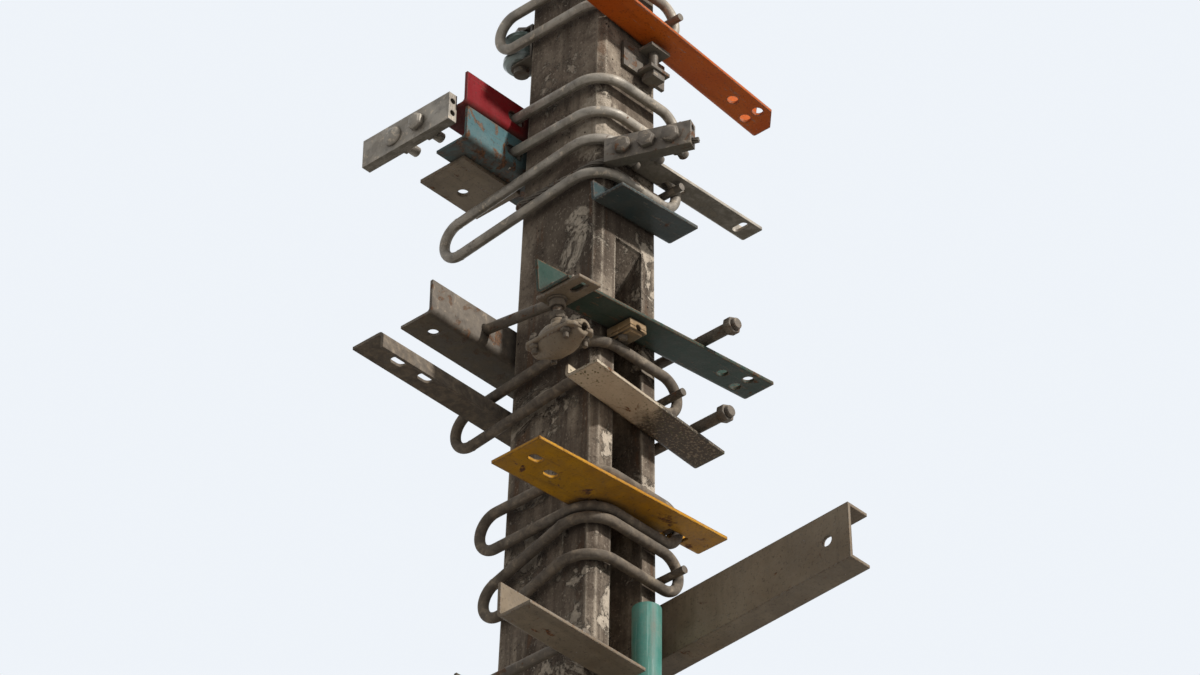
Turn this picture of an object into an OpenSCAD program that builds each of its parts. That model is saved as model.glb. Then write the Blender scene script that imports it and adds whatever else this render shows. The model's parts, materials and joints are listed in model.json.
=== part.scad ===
// Concrete telephone pole of double-T section with its clamp links, arms and riser pipe.
// Millimetres. +Z up, origin on the ground in the middle of the pole's foot.
// The plain wide face looks to -Y and the narrow recessed face to +X. The near corner
// is the one between them, and the front side is -Y.

/* [Pole] */
// Height of the pole above the ground
pole_h = 7500; // [7300:50:7700]
// Width of the plain face at the top
top_w = 140; // [130:2:160]
// Depth of the recessed face at the top
top_d = 110; // [100:2:130]
// Width of the plain face at the ground
foot_w = 350; // [330:5:380]
// Depth of the recessed face at the ground
foot_d = 260; // [240:5:280]
// Flat cut along each long corner
corner_cut = 10; // [6:1:14]
// Thickness of the two flanges beside a recess
flange_t = 37; // [32:1:42]
// Thickness of the web between the recesses
web_t = 66; // [50:2:80]
// Length of the solid head above the recesses
head_h = 930; // [800:10:1000]
// Slope of a recess's sides towards its floor, in degrees
recess_draft = 5; // [2:0.5:8]
// Diameter of the bolt holes through the head
bolt_hole_d = 19; // [16:1:22]
// Spacing of the bolt holes that run the same way
hole_pitch = 130; // [110:5:140]
// Depth of the first bolt hole below the top
first_hole = 70; // [60:5:80]

/* [Clamp links] */
// Diameter of the bent round bar
rod_d = 16; // [14:0.5:17]
// Radius of the bar's middle line round the corner of the pole
rod_bend = 45; // [41:1:50]
// Distance between the upper and lower leg of a link
rod_gauge = 62; // [58:1:66]
// Fall of the front legs of a skewed link towards their left end, in degrees
link_fall = 6; // [2:0.5:7]
// Fall of the front legs of the lowest link, in degrees
steep_fall = 18; // [14:1:20]
// Diameter of the key pin behind the pole
key_d = 12; // [10:1:13]
// How far a threaded end stands out past the plate that holds it
thread_out = 30; // [20:1:45]

/* [Arms] */
// Width of the flat leg of an arm
arm_w = 62; // [54:1:70]
// Height of the upright leg of an arm
arm_h = 58; // [54:1:60]
// Thickness of the folded plate
arm_t = 5; // [4:0.25:5.5]
// Diameter of the round holes in an arm
arm_hole_d = 17; // [13:1:19]
// Distance from the end of an arm to its pair of holes
pair_in = 38; // [28:1:44]
// Distance between the two holes of a pair
pair_gap = 25; // [23:1:28]
// Distance from the pair of holes to the single hole
single_in = 42; // [30:1:50]
// Distance of the tie rods from the middle of the pole
tie_y = 115; // [105:1:125]

/* [Depths below the top of the pole] */
// Depth of the orange arm
orange_drop = 542; // [530:1:550]
// Depth of the lower leg of the upper link
upper_link_drop = 718; // [714:1:724]
// Depth of the lower leg of the middle link
middle_link_drop = 833; // [828:1:836]
// Depth of the dark teal arm
dark_teal_drop = 890; // [886:1:896]
// Depth of the green arm
green_drop = 1104; // [1096:1:1108]
// Depth of the lower leg of the lower link
lower_link_drop = 1203; // [1200:1:1206]
// Depth of the cream arm
cream_drop = 1248; // [1244:1:1252]
// Depth of the lower leg of the yellow arm's link
yellow_link_drop = 1427; // [1420:1:1434]
// Depth of the back channel's middle and of the mouth of the riser pipe
channel_drop = 1572; // [1570:1:1590]
// Depth of the lowest arm
beige_drop = 1705; // [1700:1:1720]

/* [Riser pipe] */
// Outer diameter of the pipe
pipe_d = 42; // [38:1:48]
// Wall of the pipe
pipe_wall = 3; // [2:0.5:4]
// Distance of the pipe from the middle of the recessed face
pipe_y = 13; // [8:1:16]

/* [Small fittings] */
// Diameter of the spool insulator
spool_d = 57; // [50:1:58]
// Height of the spool insulator
spool_h = 54; // [48:1:58]
// Diameter of the guy strand
strand_d = 9.5; // [8:0.5:9.5]
// Length of the three-bolt guy clamp
guy_clamp_l = 135; // [125:1:150]
// Length of the two-bolt strand clamp
strand_clamp_l = 180; // [160:5:190]
// Height of the back channel
channel_h = 92; // [80:1:94]
// Depth of the back channel's flanges
channel_flange = 40; // [34:1:46]
// Length of the back channel
channel_l = 660; // [600:10:700]

/* [Hidden] */
$fn = 48;
// Gap between pieces that rest on each other
seat = 0.3;
// Clearance of a bar in its hole
bar_room = 2;
// Height of a bar's middle above the underside of the arm that it passes through
rod_rise = arm_h / 2;
link_half = rod_gauge / 2;

// Half the width and half the depth of the pole at a height
function half_w(z) = (top_w + (foot_w - top_w) * (pole_h - z) / pole_h) / 2;
function half_d(z) = (top_d + (foot_d - top_d) * (pole_h - z) / pole_h) / 2;
// Positions kept to a twentieth of a millimetre, so that the pieces of a bar meet exactly
function snap(v) = round(v * 20) / 20;

// A bar bent round the near corner touches the two edges of the corner cut
corner_k = sqrt((pow(rod_bend - rod_d / 2 - seat, 2) - pow(corner_cut, 2) / 2) / 2);
function bend_x(z) = snap(half_w(z) - corner_cut / 2 - corner_k);
function bend_y(z) = -snap(half_d(z) - corner_cut / 2 - corner_k);
function leg_x(z) = bend_x(z) + rod_bend;
function leg_y(z) = bend_y(z) - rod_bend;

// Outline of the pole at one level, with its four corners cut
module pole_slice(w, d, cut) {
    linear_extrude(1) polygon([
        [-w, -d + cut], [-w + cut, -d], [w - cut, -d], [w, -d + cut],
        [w, d - cut], [w - cut, d], [-w + cut, d], [-w, d - cut]]);
}

// Space between the flanges at one level, narrower towards the web
module recess_slice(face_x, half_face) {
    narrow = tan(recess_draft);
    inner = half_face - face_x * narrow;
    outer = half_face + (foot_w - face_x) * narrow;
    linear_extrude(1) polygon([[0, -inner], [foot_w, -outer], [foot_w, outer], [0, inner]]);
}

// One recess: it runs from the ground to the head, where its floor slopes out to the face
module recess() {
    recess_top = pole_h - head_h;
    run_out = 60;
    intersection() {
        hull() {
            translate([0, 0, -3]) recess_slice(half_w(0), half_d(0) - 1.2 * flange_t);
            translate([0, 0, recess_top])
                recess_slice(half_w(recess_top), half_d(recess_top) - flange_t);
        }
        rotate([90, 0, 0]) linear_extrude(foot_d, center = true) polygon([
            [web_t / 2 + 8, -1], [foot_w - 1, -1], [foot_w - 1, recess_top],
            [half_w(recess_top) - 2, recess_top], [web_t / 2, recess_top - run_out]]);
    }
}

module pole_shaft() color([0.55, 0.50, 0.46]) difference() {
    hull() {
        pole_slice(half_w(0), half_d(0), corner_cut);
        translate([0, 0, pole_h - 1]) pole_slice(top_w / 2, top_d / 2, corner_cut);
    }
    recess();
    mirror([1, 0, 0]) recess();
    for (i = [0:2]) {
        translate([0, 0, pole_h - first_hole - i * hole_pitch]) rotate([90, 0, 0])
            cylinder(d = bolt_hole_d, h = 2 * top_d, center = true);
        translate([0, 0, pole_h - first_hole - (i + 0.5) * hole_pitch]) rotate([0, 90, 0])
            cylinder(d = bolt_hole_d, h = 2 * top_w, center = true);
    }
}

// Round bar along +X or +Y from a point
module bar_x(at, len, d) { translate(at) rotate([0, 90, 0]) cylinder(d = d, h = len); }
module bar_y(at, len, d) { translate(at) rotate([-90, 0, 0]) cylinder(d = d, h = len); }

// Half turn that joins the two legs of a link; the legs point to -Y
module link_end(radius) {
    rotate([0, 90, 0]) rotate_extrude(angle = 180) translate([radius, 0]) circle(d = rod_d);
}

function key_y(z) = half_d(z) + seat + key_d / 2;
function right_end_y(z) = snap(key_y(z) + key_d / 2 + seat - (link_half - rod_d / 2));

// Legs on the recessed side, the half turn behind the pole and the bend at the near corner
module side_legs(z) {
    for (leg_z = [z, z + rod_gauge]) {
        translate([bend_x(z), bend_y(z), leg_z]) rotate([0, 0, -90])
            rotate_extrude(angle = 90) translate([rod_bend, 0]) circle(d = rod_d);
        bar_y([leg_x(z), bend_y(z), leg_z], right_end_y(z) - bend_y(z), rod_d);
    }
    translate([leg_x(z), right_end_y(z), z + link_half]) link_end(link_half);
}

// Front legs: a short stub and a forged knuckle at the near corner, two parallel runs that
// fall to the left and the half turn at their end
module front_eye(z, reach, fall) {
    stub = fall > 0 ? 14 : 0;
    inside = fall > 0 ? 1 : 0;
    knuckle_d = rod_d + 0.8;
    start_x = bend_x(z) - stub;
    gauge = snap(rod_gauge * cos(fall));
    eye = gauge / 2;
    run = snap((start_x + reach - eye * (1 + sin(fall)) - rod_d / 2) / cos(fall));
    if (fall > 0) for (leg_z = [z, z + rod_gauge]) {
        bar_x([start_x + inside, leg_y(z), leg_z], stub - inside, rod_d);
        translate([start_x, leg_y(z), leg_z]) rotate([0, 90, 0]) sphere(d = knuckle_d);
    }
    translate([start_x, leg_y(z), z]) rotate([0, -fall, 0]) {
        bar_x([inside - run, 0, 0], run - 2 * inside, rod_d);
        bar_x([inside - run, 0, gauge], run + rod_gauge * sin(fall) - 2 * inside, rod_d);
        translate([-run, 0, eye]) rotate([0, 0, 90]) link_end(eye);
        if (fall > 0) for (h = [0, gauge]) translate([-run, 0, h])
            rotate([0, 90, 0]) sphere(d = knuckle_d);
    }
}

// Link with a closed end on both sides; reach is how far its eye stands to the left
module corner_link(z, reach, fall) color([0.62, 0.60, 0.55]) {
    side_legs(z);
    front_eye(z, reach, fall);
}

// Pin through the closed end behind the pole, bearing on the back face
module key_pin(z) color([0.45, 0.42, 0.38]) {
    inside = 50;
    past = 18;
    bar_x([half_w(z) - inside, key_y(z), z + link_half],
        leg_x(z) - half_w(z) + rod_d / 2 + inside + past, key_d);
}

// Folded plate section: flat leg along x, upright leg along y, bent round the corner
module fold_section(w, h) {
    bend = 2 * arm_t;
    translate([bend, 0]) square([w - bend, arm_t]);
    translate([0, bend]) square([arm_t, h - bend]);
    intersection() {
        translate([bend, bend]) difference() { circle(r = bend); circle(r = arm_t); }
        square(bend);
    }
}

// Folded arm along Y with its back at x = 0 and its underside at z = 0
module folded_arm(y0, y1, w = arm_w, h = arm_h) {
    translate([0, y1, 0]) rotate([90, 0, 0]) linear_extrude(y1 - y0) fold_section(w, h);
}

// One hole down through the flat leg
module flat_hole(x, y, d = arm_hole_d) {
    translate([x, y, -arm_t]) cylinder(d = d, h = 3 * arm_t);
}

// Pair of holes near an end and one hole further in; dir is 1 at the +Y end and -1 at the other
module end_holes(y_end, dir) {
    pair_y = y_end - dir * pair_in;
    for (s = [-1, 1]) flat_hole((arm_w + arm_t) / 2 + s * pair_gap / 2, pair_y);
    flat_hole((arm_w + arm_t) / 2, pair_y - dir * single_in);
}

// Corner of the flat leg taken off at an end
module end_cut(w, y_end, size) {
    translate([w, y_end, -arm_t]) rotate([0, 0, 45])
        translate([-size / 2, -size / 2, 0]) cube([size, size, 3 * arm_t]);
}

// Slot through the upright leg, long along Y
module upright_slot(y, z, d, len) {
    for (s = [-1, 1]) translate([-arm_t, y + s * (len - d) / 2, z]) rotate([0, 90, 0])
        cylinder(d = d, h = 3 * arm_t);
    translate([-arm_t, y - (len - d) / 2, z - d / 2]) cube([3 * arm_t, len - d, d]);
}

// Slot down through the flat leg, long along Y
module flat_slot(x, y, d, len) {
    for (s = [-1, 1]) flat_hole(x, y + s * (len - d) / 2, d);
    translate([x - d / 2, y - (len - d) / 2, -arm_t]) cube([d, len - d, 3 * arm_t]);
}

module upright_hole(y, z, d) {
    translate([-arm_t, y, z]) rotate([0, 90, 0]) cylinder(d = d, h = 3 * arm_t);
}

// Places an arm on the recessed face, or on the face opposite; lean is its rise towards +Y
module on_right(z, lean = 0) { translate([half_w(z) + seat, 0, z]) rotate([lean, 0, 0]) children(); }
module on_left(z, lean = 0) { mirror([1, 0, 0]) on_right(z, lean) children(); }

// Where a point of a leaning arm comes to stand
function lean_y(y, z, lean) = y * cos(lean) - z * sin(lean);
function lean_z(y, z, lean) = y * sin(lean) + z * cos(lean);

// Slot in the flat leg of an arm where the closed end of the link round it passes through
module link_slot(z, arm_z, room = 3) {
    x = leg_x(z) - half_w(arm_z) - seat;
    y0 = right_end_y(z) + 2;
    y1 = right_end_y(z) + link_half + rod_d / 2 + room;
    translate([x - rod_d / 2 - room, y0, -arm_t]) cube([rod_d + 2 * room, y1 - y0, 3 * arm_t]);
}

// Takes the upright leg away above a height where a link bends round the near corner
module corner_notch(z, above) {
    translate([-arm_t, -2 * tie_y - arm_h, above])
        cube([3 * arm_t, 2 * tie_y + arm_h + bend_y(z) + 4, 2 * arm_h]);
}

// Straight bar through two arms, rising from its hole on the left to the one on the right
module tie_bar(y, z_left, z_right, x_hole, right) {
    rise = atan((z_right - z_left) / (2 * x_hole));
    left = x_hole + thread_out;
    translate([-left, y, z_left - thread_out * tan(rise)]) rotate([0, 90 - rise, 0])
        cylinder(d = rod_d, h = (left + right) / cos(rise));
}

orange_z = pole_h - orange_drop;
orange_lean = -6;
top_link_z = orange_z + link_half;
module top_link() corner_link(top_link_z, 131, 0);
module top_key() key_pin(top_link_z);

module orange_arm() color([0.75, 0.27, 0.08]) on_right(orange_z, orange_lean) difference() {
    far = 272;
    folded_arm(-120, far, arm_w, arm_h + 18);
    end_holes(far, 1);
    end_cut(arm_w, far, 34);
    corner_notch(orange_z, 9);
    translate([-arm_t, lean_y(key_y(top_link_z), link_half + link_half, -orange_lean) - key_d, arm_h])
        cube([3 * arm_t, 2 * key_d, arm_h]);
}

// Bracket with two ears and a square-headed bolt below the orange arm
module face_bracket() color([0.45, 0.40, 0.34]) {
    plate = [6, 88, 46];
    ear = [34, 40, 6];
    bolt_d = 14;
    top = orange_z - 16;
    translate([half_w(top - plate[2]) + seat, -20, top - plate[2]]) {
        difference() {
            union() {
                cube(plate);
                for (z = [0, plate[2] - ear[2]]) translate([0, 30, z]) cube(ear);
            }
            translate([ear[0] - 15, 50, -1]) cylinder(d = bolt_d + 1, h = plate[2] + 2);
        }
        translate([ear[0] - 15, 50, -12]) {
            cylinder(d = bolt_d, h = plate[2] + 13);
            translate([-12, -12, 0]) cube([24, 24, 12 - seat]);
        }
    }
}

// Spool insulator between the tongues of its bracket, on the face opposite the recess
spool_z = top_link_z + 21;
spool_y = -36;
spool_off = spool_d / 2 + 8;
spool_hole = 17;
module insulator() color([0.36, 0.44, 0.40])
    translate([-half_w(spool_z) - spool_off, spool_y, spool_z - spool_h / 2]) rotate_extrude()
        difference() {
            translate([spool_hole / 2, 0]) square([(spool_d - spool_hole) / 2, spool_h]);
            translate([spool_d / 2 + 6, spool_h / 2]) circle(d = 34);
            for (z = [0, spool_h]) translate([spool_d / 2, z]) rotate([0, 0, 45]) square(7, center = true);
        }

module insulator_bracket() color([0.45, 0.42, 0.38]) {
    strap = 4;
    wide = 32;
    pin_d = spool_hole - 2;
    low = spool_z - spool_h / 2 - seat - strap;
    translate([-half_w(low) - seat - strap, spool_y - wide / 2, low])
        cube([strap, wide, spool_h + 2 * strap + 2 * seat]);
    for (z = [low, spool_z + spool_h / 2 + seat]) difference() {
        union() {
            translate([-half_w(spool_z) - spool_off, spool_y, z]) cylinder(d = wide, h = strap);
            translate([-half_w(spool_z) - spool_off, spool_y - wide / 2, z])
                cube([spool_off + half_w(spool_z) - half_w(low) - seat, wide, strap]);
        }
        translate([-half_w(spool_z) - spool_off, spool_y, z - 1]) cylinder(d = pin_d + 1, h = strap + 2);
    }
    translate([-half_w(spool_z) - spool_off, spool_y, low - 9]) {
        cylinder(d = pin_d, h = spool_h + 2 * strap + 22);
        cylinder(d = 24, h = 9 - seat);
    }
}

// The upper link has two threaded front ends, each through an arm on the left
upper_link_z = pole_h - upper_link_drop;
red_z = upper_link_z + rod_gauge - rod_rise;
teal_z = upper_link_z - rod_rise;
module upper_link() color([0.62, 0.60, 0.55]) {
    side_legs(upper_link_z);
    left = snap(half_w(upper_link_z) + arm_t + thread_out);
    for (leg_z = [upper_link_z, upper_link_z + rod_gauge])
        bar_x([-left, leg_y(upper_link_z), leg_z], left + bend_x(upper_link_z), rod_d);
}
module upper_key() key_pin(upper_link_z);

red_reach = 182;
module red_arm() color([0.55, 0.08, 0.12]) on_left(red_z) difference() {
    folded_arm(-red_reach, 60);
    upright_slot(leg_y(upper_link_z), rod_rise, rod_d + bar_room, 34);
    flat_slot(arm_w / 2 + 3, -125, 15, 34);
}

module teal_arm() color([0.35, 0.48, 0.50]) on_left(teal_z) difference() {
    folded_arm(-red_reach + 4, 60);
    upright_slot(leg_y(upper_link_z), rod_rise, rod_d + bar_room, 34);
    flat_slot(arm_w - 16, -125, 13, 46);
}

// Plate under the flat leg of the teal arm
module tan_plate() color([0.52, 0.46, 0.38])
    translate([-half_w(teal_z) - 124, -149, teal_z - seat - 6]) difference() {
        cube([90, 120, 6]);
        translate([30, 60, -1]) cylinder(d = arm_hole_d, h = 8);
    }

// Two grooved plates that held a strand at the end of the red arm
module strand_clamp() color([0.50, 0.46, 0.40]) {
    tall = 50;
    thick = 8;
    for (side = [0, 1])
        translate([-half_w(red_z) - 20 - strand_clamp_l, -red_reach - (side + 1) * (thick + seat), red_z - 30])
            difference() {
                cube([strand_clamp_l, thick, tall]);
                translate([-1, side * thick, tall - 14]) rotate([0, 90, 0])
                    cylinder(d = strand_d, h = strand_clamp_l + 2);
                translate([-1, side * thick, 14]) rotate([0, 90, 0])
                    cylinder(d = strand_d, h = strand_clamp_l + 2);
                for (s = [-1, 1]) translate([strand_clamp_l / 2 + s * 25.5, -1, tall / 2])
                    rotate([-90, 0, 0]) cylinder(d = 14, h = thick + 2);
            }
}

middle_link_z = pole_h - middle_link_drop;
module middle_link() corner_link(middle_link_z, 228, link_fall);
module middle_key() key_pin(middle_link_z);

// The narrow arm passes through the middle link above its key pin
narrow_z = middle_link_z + link_half + key_d / 2 + 3;
module narrow_arm() color([0.45, 0.42, 0.38]) on_right(narrow_z, 1.5) difference() {
    wide = 45;
    far = 242;
    folded_arm(bend_y(narrow_z) + 3, far, wide, 26);
    for (s = [-1, 1]) flat_hole(wide / 2 + 3 + s * 7, far - 28, 13);
    translate([wide / 2 - 4, far - 34.5, -arm_t]) cube([14, 13, 3 * arm_t]);
    translate([wide + 4, far - 8, -arm_t]) rotate([0, 0, 30]) cube([20, 60, 3 * arm_t]);
    link_slot(middle_link_z, narrow_z);
}

dark_teal_z = pole_h - dark_teal_drop;
module dark_teal_arm() color([0.25, 0.35, 0.35]) on_right(dark_teal_z, 4) difference() {
    folded_arm(-80, 81);
    corner_notch(dark_teal_z, 36);
}

// Strand once round the pole; one end leaves the near corner through the lower groove of
// the three-bolt clamp, where it ends
guy_mid_z = middle_link_z + link_half;
groove_off = 12;
guy_turn = 21.6;
guy_lead = 20;
guy_tall = 42;
strand_z = guy_mid_z - groove_off;
strand_bend = 16;
strand_x = snap(half_w(strand_z - strand_d) + seat + strand_d / 2 - strand_bend);
strand_y = snap(half_d(strand_z - strand_d) + seat + strand_d / 2 - strand_bend);
guy_kink_x = snap(strand_x + strand_bend * tan(guy_turn / 2));
guy_kink_y = -strand_y - strand_bend;
module guy_strand() color([0.40, 0.37, 0.33]) {
    for (c = [[1, 1, [0, 0, 0]], [-1, 1, [0, 0, 90]], [-1, -1, [180, 0, -90]]])
        translate([c[0] * strand_x, c[1] * strand_y, strand_z]) rotate(c[2])
            rotate_extrude(angle = 90) translate([strand_bend, 0]) circle(d = strand_d);
    bar_x([-strand_x, strand_y + strand_bend, strand_z], 2 * strand_x, strand_d);
    bar_x([-strand_x, guy_kink_y, strand_z], strand_x + guy_kink_x, strand_d);
    bar_y([-strand_x - strand_bend, -strand_y, strand_z], 2 * strand_y, strand_d);
    bar_y([strand_x + strand_bend, strand_d - strand_y, strand_z], 2 * strand_y - strand_d, strand_d);
    lead_in = strand_d * tan(guy_turn) / 2 + seat;
    translate([guy_kink_x, guy_kink_y, strand_z]) rotate([0, 0, guy_turn])
        bar_x([lead_in, 0, 0], guy_lead + guy_clamp_l + strand_d - lead_in, strand_d);
}

// Two grooved plates with three bolt holes; nuts and bolts are left to the finish
module guy_clamp() color([0.42, 0.38, 0.33]) translate([guy_kink_x, guy_kink_y, guy_mid_z])
    rotate([0, 0, guy_turn]) translate([guy_lead, 0, 0]) {
        thick = 9;
        for (side = [-1, 1]) difference() {
            translate([0, side > 0 ? seat / 2 : -thick - seat / 2, -guy_tall / 2])
                cube([guy_clamp_l, thick, guy_tall]);
            for (s = [-1, 1]) bar_x([-1, 0, s * groove_off], guy_clamp_l + 2, strand_d + 2 * seat);
            for (i = [0:2]) translate([guy_clamp_l / 2 + (i - 1) * 0.28 * guy_clamp_l, -2 * thick, 0])
                rotate([-90, 0, 0]) cylinder(d = 13, h = 4 * thick);
        }
    }

lower_link_z = pole_h - lower_link_drop;
module lower_link() corner_link(lower_link_z, 184, link_fall);
module lower_key() key_pin(lower_link_z);

// The slotted arm passes through the eye of the lower link with its short leg turned down
slotted_z = lower_link_z + 26;
slotted_h = 29;
module slotted_arm() color([0.42, 0.40, 0.38]) on_left(slotted_z - slotted_h)
    translate([0, 0, slotted_h]) difference() {
        translate([0, 0, arm_t]) mirror([0, 0, 1]) folded_arm(-318, 60, arm_w, slotted_h);
        for (y = [-254, -200]) flat_slot(arm_w / 2 + 3, y, arm_hole_d, 26);
    }

green_z = pole_h - green_drop;
green_lean = 6;
green_twin_z = green_z + 12;
clamp_at = [16, -165];
module green_arm() color([0.18, 0.28, 0.24]) on_right(green_z, green_lean) difference() {
    far = 245;
    folded_arm(-190, far);
    end_holes(far, 1);
    for (s = [-1, 1]) upright_hole(s * tie_y, rod_rise, rod_d + bar_room);
    flat_hole(clamp_at[0], clamp_at[1], 15);
}

module green_twin_arm() color([0.42, 0.40, 0.38]) on_left(green_twin_z) difference() {
    folded_arm(-228, 150);
    flat_hole(34, -190);
    for (s = [-1, 1])
        upright_hole(lean_y(s * tie_y, rod_rise, green_lean), rod_rise, rod_d + bar_room);
}

module green_tie_rods() color([0.45, 0.42, 0.38]) for (s = [-1, 1])
    tie_bar(lean_y(s * tie_y, rod_rise, green_lean), green_twin_z + rod_rise,
        green_z + lean_z(s * tie_y, rod_rise, green_lean), half_w(green_z) + arm_t / 2,
        s > 0 ? 197 : half_w(green_z) + arm_t + thread_out);

// Suspension clamp under the front end of the green arm: slotted plate, stem and two jaws
module suspension_clamp() color([0.50, 0.44, 0.36]) on_right(green_z, green_lean)
    translate([clamp_at[0], clamp_at[1], 0]) {
        stem_d = 14;
        jaw_l = 110;
        jaw_r = 28;
        jaw_z = -72;
        difference() {
            translate([-20, -22, -5 - seat]) cube([84, 44, 5]);
            translate([0, 0, -8]) cylinder(d = stem_d + 1, h = 10);
            translate([26, -7, -8]) cube([26, 14, 10]);
        }
        translate([0, 0, jaw_z + jaw_r - 2]) cylinder(d = stem_d, h = -jaw_z - jaw_r + 2 + arm_t + 16);
        for (side = [-1, 1]) difference() {
            translate([-jaw_l / 2, 0, jaw_z]) rotate([0, 90, 0]) cylinder(r = jaw_r, h = jaw_l);
            translate([-jaw_l, -2 * jaw_r, jaw_z - (side > 0 ? 4 * jaw_r : 0) - seat / 2])
                cube([2 * jaw_l, 4 * jaw_r, 4 * jaw_r + (side > 0 ? seat : 0)]);
            translate([-jaw_l, 0, jaw_z]) rotate([0, 90, 0]) cylinder(d = strand_d + 2, h = 2 * jaw_l);
        }
    }

// Small strand clamp under the green arm beside the near corner
module small_clamp() color([0.60, 0.46, 0.24]) on_right(green_z, green_lean)
    translate([6, -52, -22 - seat]) difference() {
        cube([46, 34, 22]);
        translate([-1, 17, 8]) rotate([0, 90, 0]) cylinder(d = strand_d, h = 50);
        translate([23, 8, -1]) cylinder(d = 9, h = 24);
    }

// The cream arm is held by the lower link, which bears on its upright leg, and by one rod
cream_z = pole_h - cream_drop;
cream_lean = -4.2;
cream_rod_y = 95;
module cream_arm() color([0.75, 0.69, 0.59]) on_right(cream_z, cream_lean) difference() {
    folded_arm(-130, 137);
    upright_hole(cream_rod_y, rod_rise, rod_d + bar_room);
    corner_notch(cream_z, 24);
}

module cream_backing_plate() color([0.45, 0.42, 0.38]) on_left(cream_z, cream_lean) difference() {
    translate([0, 20, 12]) cube([arm_t, 100, 34]);
    upright_hole(cream_rod_y, rod_rise, rod_d + bar_room);
}

module cream_tie_rod() color([0.45, 0.42, 0.38])
    tie_bar(lean_y(cream_rod_y, rod_rise, cream_lean), cream_z + lean_z(cream_rod_y, rod_rise, cream_lean),
        cream_z + lean_z(cream_rod_y, rod_rise, cream_lean), half_w(cream_z) + arm_t / 2, 199);

// The yellow arm lies on the lower leg of its link; in front of the pole it is wider
yellow_link_z = pole_h - yellow_link_drop;
yellow_z = yellow_link_z + 14;
yellow_lean = 3.8;
yellow_mid = yellow_link_z + link_half - yellow_z;
module yellow_arm() color([0.80, 0.56, 0.05]) on_right(yellow_z, yellow_lean) difference() {
    inner = 30;
    front = -241;
    union() {
        folded_arm(front, 142);
        translate([-inner, front, 0])
            cube([inner + 2 * arm_t, -front - half_d(yellow_z) - 3, arm_t]);
    }
    for (at = [[22, -207], [8, -163]]) flat_slot(at[0], at[1], 15, 24);
    translate([-arm_t, front - 1, arm_t]) cube([3 * arm_t + 1, -front - half_d(yellow_z) - 2, 2 * arm_h]);
    corner_notch(yellow_z, 30);
    link_slot(yellow_link_z, yellow_z);
    upright_hole(lean_y(key_y(yellow_link_z), yellow_mid, -yellow_lean),
        lean_z(key_y(yellow_link_z), yellow_mid, -yellow_lean), key_d + bar_room);
}
module yellow_link() corner_link(yellow_link_z, 124, 0);
module yellow_key() key_pin(yellow_link_z);

bottom_link_z = yellow_link_z - rod_gauge - rod_d - 3;
module bottom_link() corner_link(bottom_link_z, 111, steep_fall);
module bottom_key() key_pin(bottom_link_z);

// Channel across the back face
channel_z = pole_h - channel_drop;
channel_lean = -3;
module back_channel() color([0.55, 0.49, 0.41])
    translate([0, half_d(channel_z - channel_h / 2) + seat, channel_z]) rotate([0, channel_lean, 0])
        translate([-channel_l / 3, 0, -channel_h / 2]) difference() {
            cube([channel_l, channel_flange, channel_h]);
            translate([-1, arm_t, arm_t]) cube([channel_l + 2, channel_flange, channel_h - 2 * arm_t]);
            for (x = [channel_l / 3 - 40, channel_l / 3 + 40, channel_l - 40])
                translate([x, -1, channel_h / 2]) rotate([-90, 0, 0]) cylinder(d = arm_hole_d, h = arm_t + 2);
        }

beige_z = pole_h - beige_drop;
module beige_arm() color([0.60, 0.54, 0.45]) on_right(beige_z) difference() {
    folded_arm(-253, 200);
    for (s = [-1, 1]) upright_hole(s * tie_y, rod_rise, rod_d + bar_room);
    translate([2 * arm_t, pipe_y - pipe_d / 2 - 18, -arm_t]) cube([arm_w, pipe_d + 24, 3 * arm_t]);
    translate([arm_t + seat, pipe_y - pipe_d / 2 - 2, -arm_t]) cube([arm_w, pipe_d + 4, 3 * arm_t]);
}
module beige_backing_bar() color([0.45, 0.42, 0.38]) on_left(beige_z) difference() {
    translate([0, -tie_y - 25, rod_rise - 20]) cube([arm_t, 2 * tie_y + 50, 40]);
    for (s = [-1, 1]) upright_hole(s * tie_y, rod_rise, rod_d + bar_room);
}
module beige_tie_rods() color([0.45, 0.42, 0.38]) for (s = [-1, 1])
    tie_bar(s * tie_y, beige_z + rod_rise, beige_z + rod_rise, half_w(beige_z) + arm_t / 2,
        half_w(beige_z) + arm_t + thread_out);

// The pipe leans with the face of the pole and stands clear of the lowest arm's upright leg
pipe_top = channel_z + 2;
pipe_lean = atan((foot_w - top_w) / 2 / pole_h);
pipe_off = arm_t + 6 * seat + pipe_d / 2;
module riser_pipe() color([0.27, 0.60, 0.53])
    translate([half_w(0) + pipe_off, pipe_y, 0]) rotate([0, -pipe_lean, 0]) difference() {
        cylinder(d = pipe_d, h = pipe_top);
        translate([0, 0, -1]) cylinder(d = pipe_d - 2 * pipe_wall, h = pipe_top + 2);
    }

// Saddle clips that hold the pipe to the two flanges beside the recess
module pipe_clips() color([0.45, 0.42, 0.38]) for (i = [0:4]) {
    clip_h = 25;
    clip_t = 3;
    z = pole_h * (0.055 + 0.17 * i);
    outer = pipe_d / 2 + seat + clip_t;
    foot_y = half_d(z) - flange_t / 3;
    translate([half_w(z) + seat, pipe_y, z]) rotate([0, -pipe_lean, 0]) linear_extrude(clip_h) difference() {
        union() {
            translate([pipe_off - seat, 0]) circle(outer);
            translate([0, -outer]) square([pipe_off - seat, 2 * outer]);
            translate([0, -foot_y - pipe_y]) square([clip_t, 2 * foot_y]);
        }
        translate([pipe_off - seat, 0]) circle(outer - clip_t);
        translate([-1, -outer + clip_t]) square([pipe_off + 1 - seat, 2 * (outer - clip_t)]);
    }
}

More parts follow.
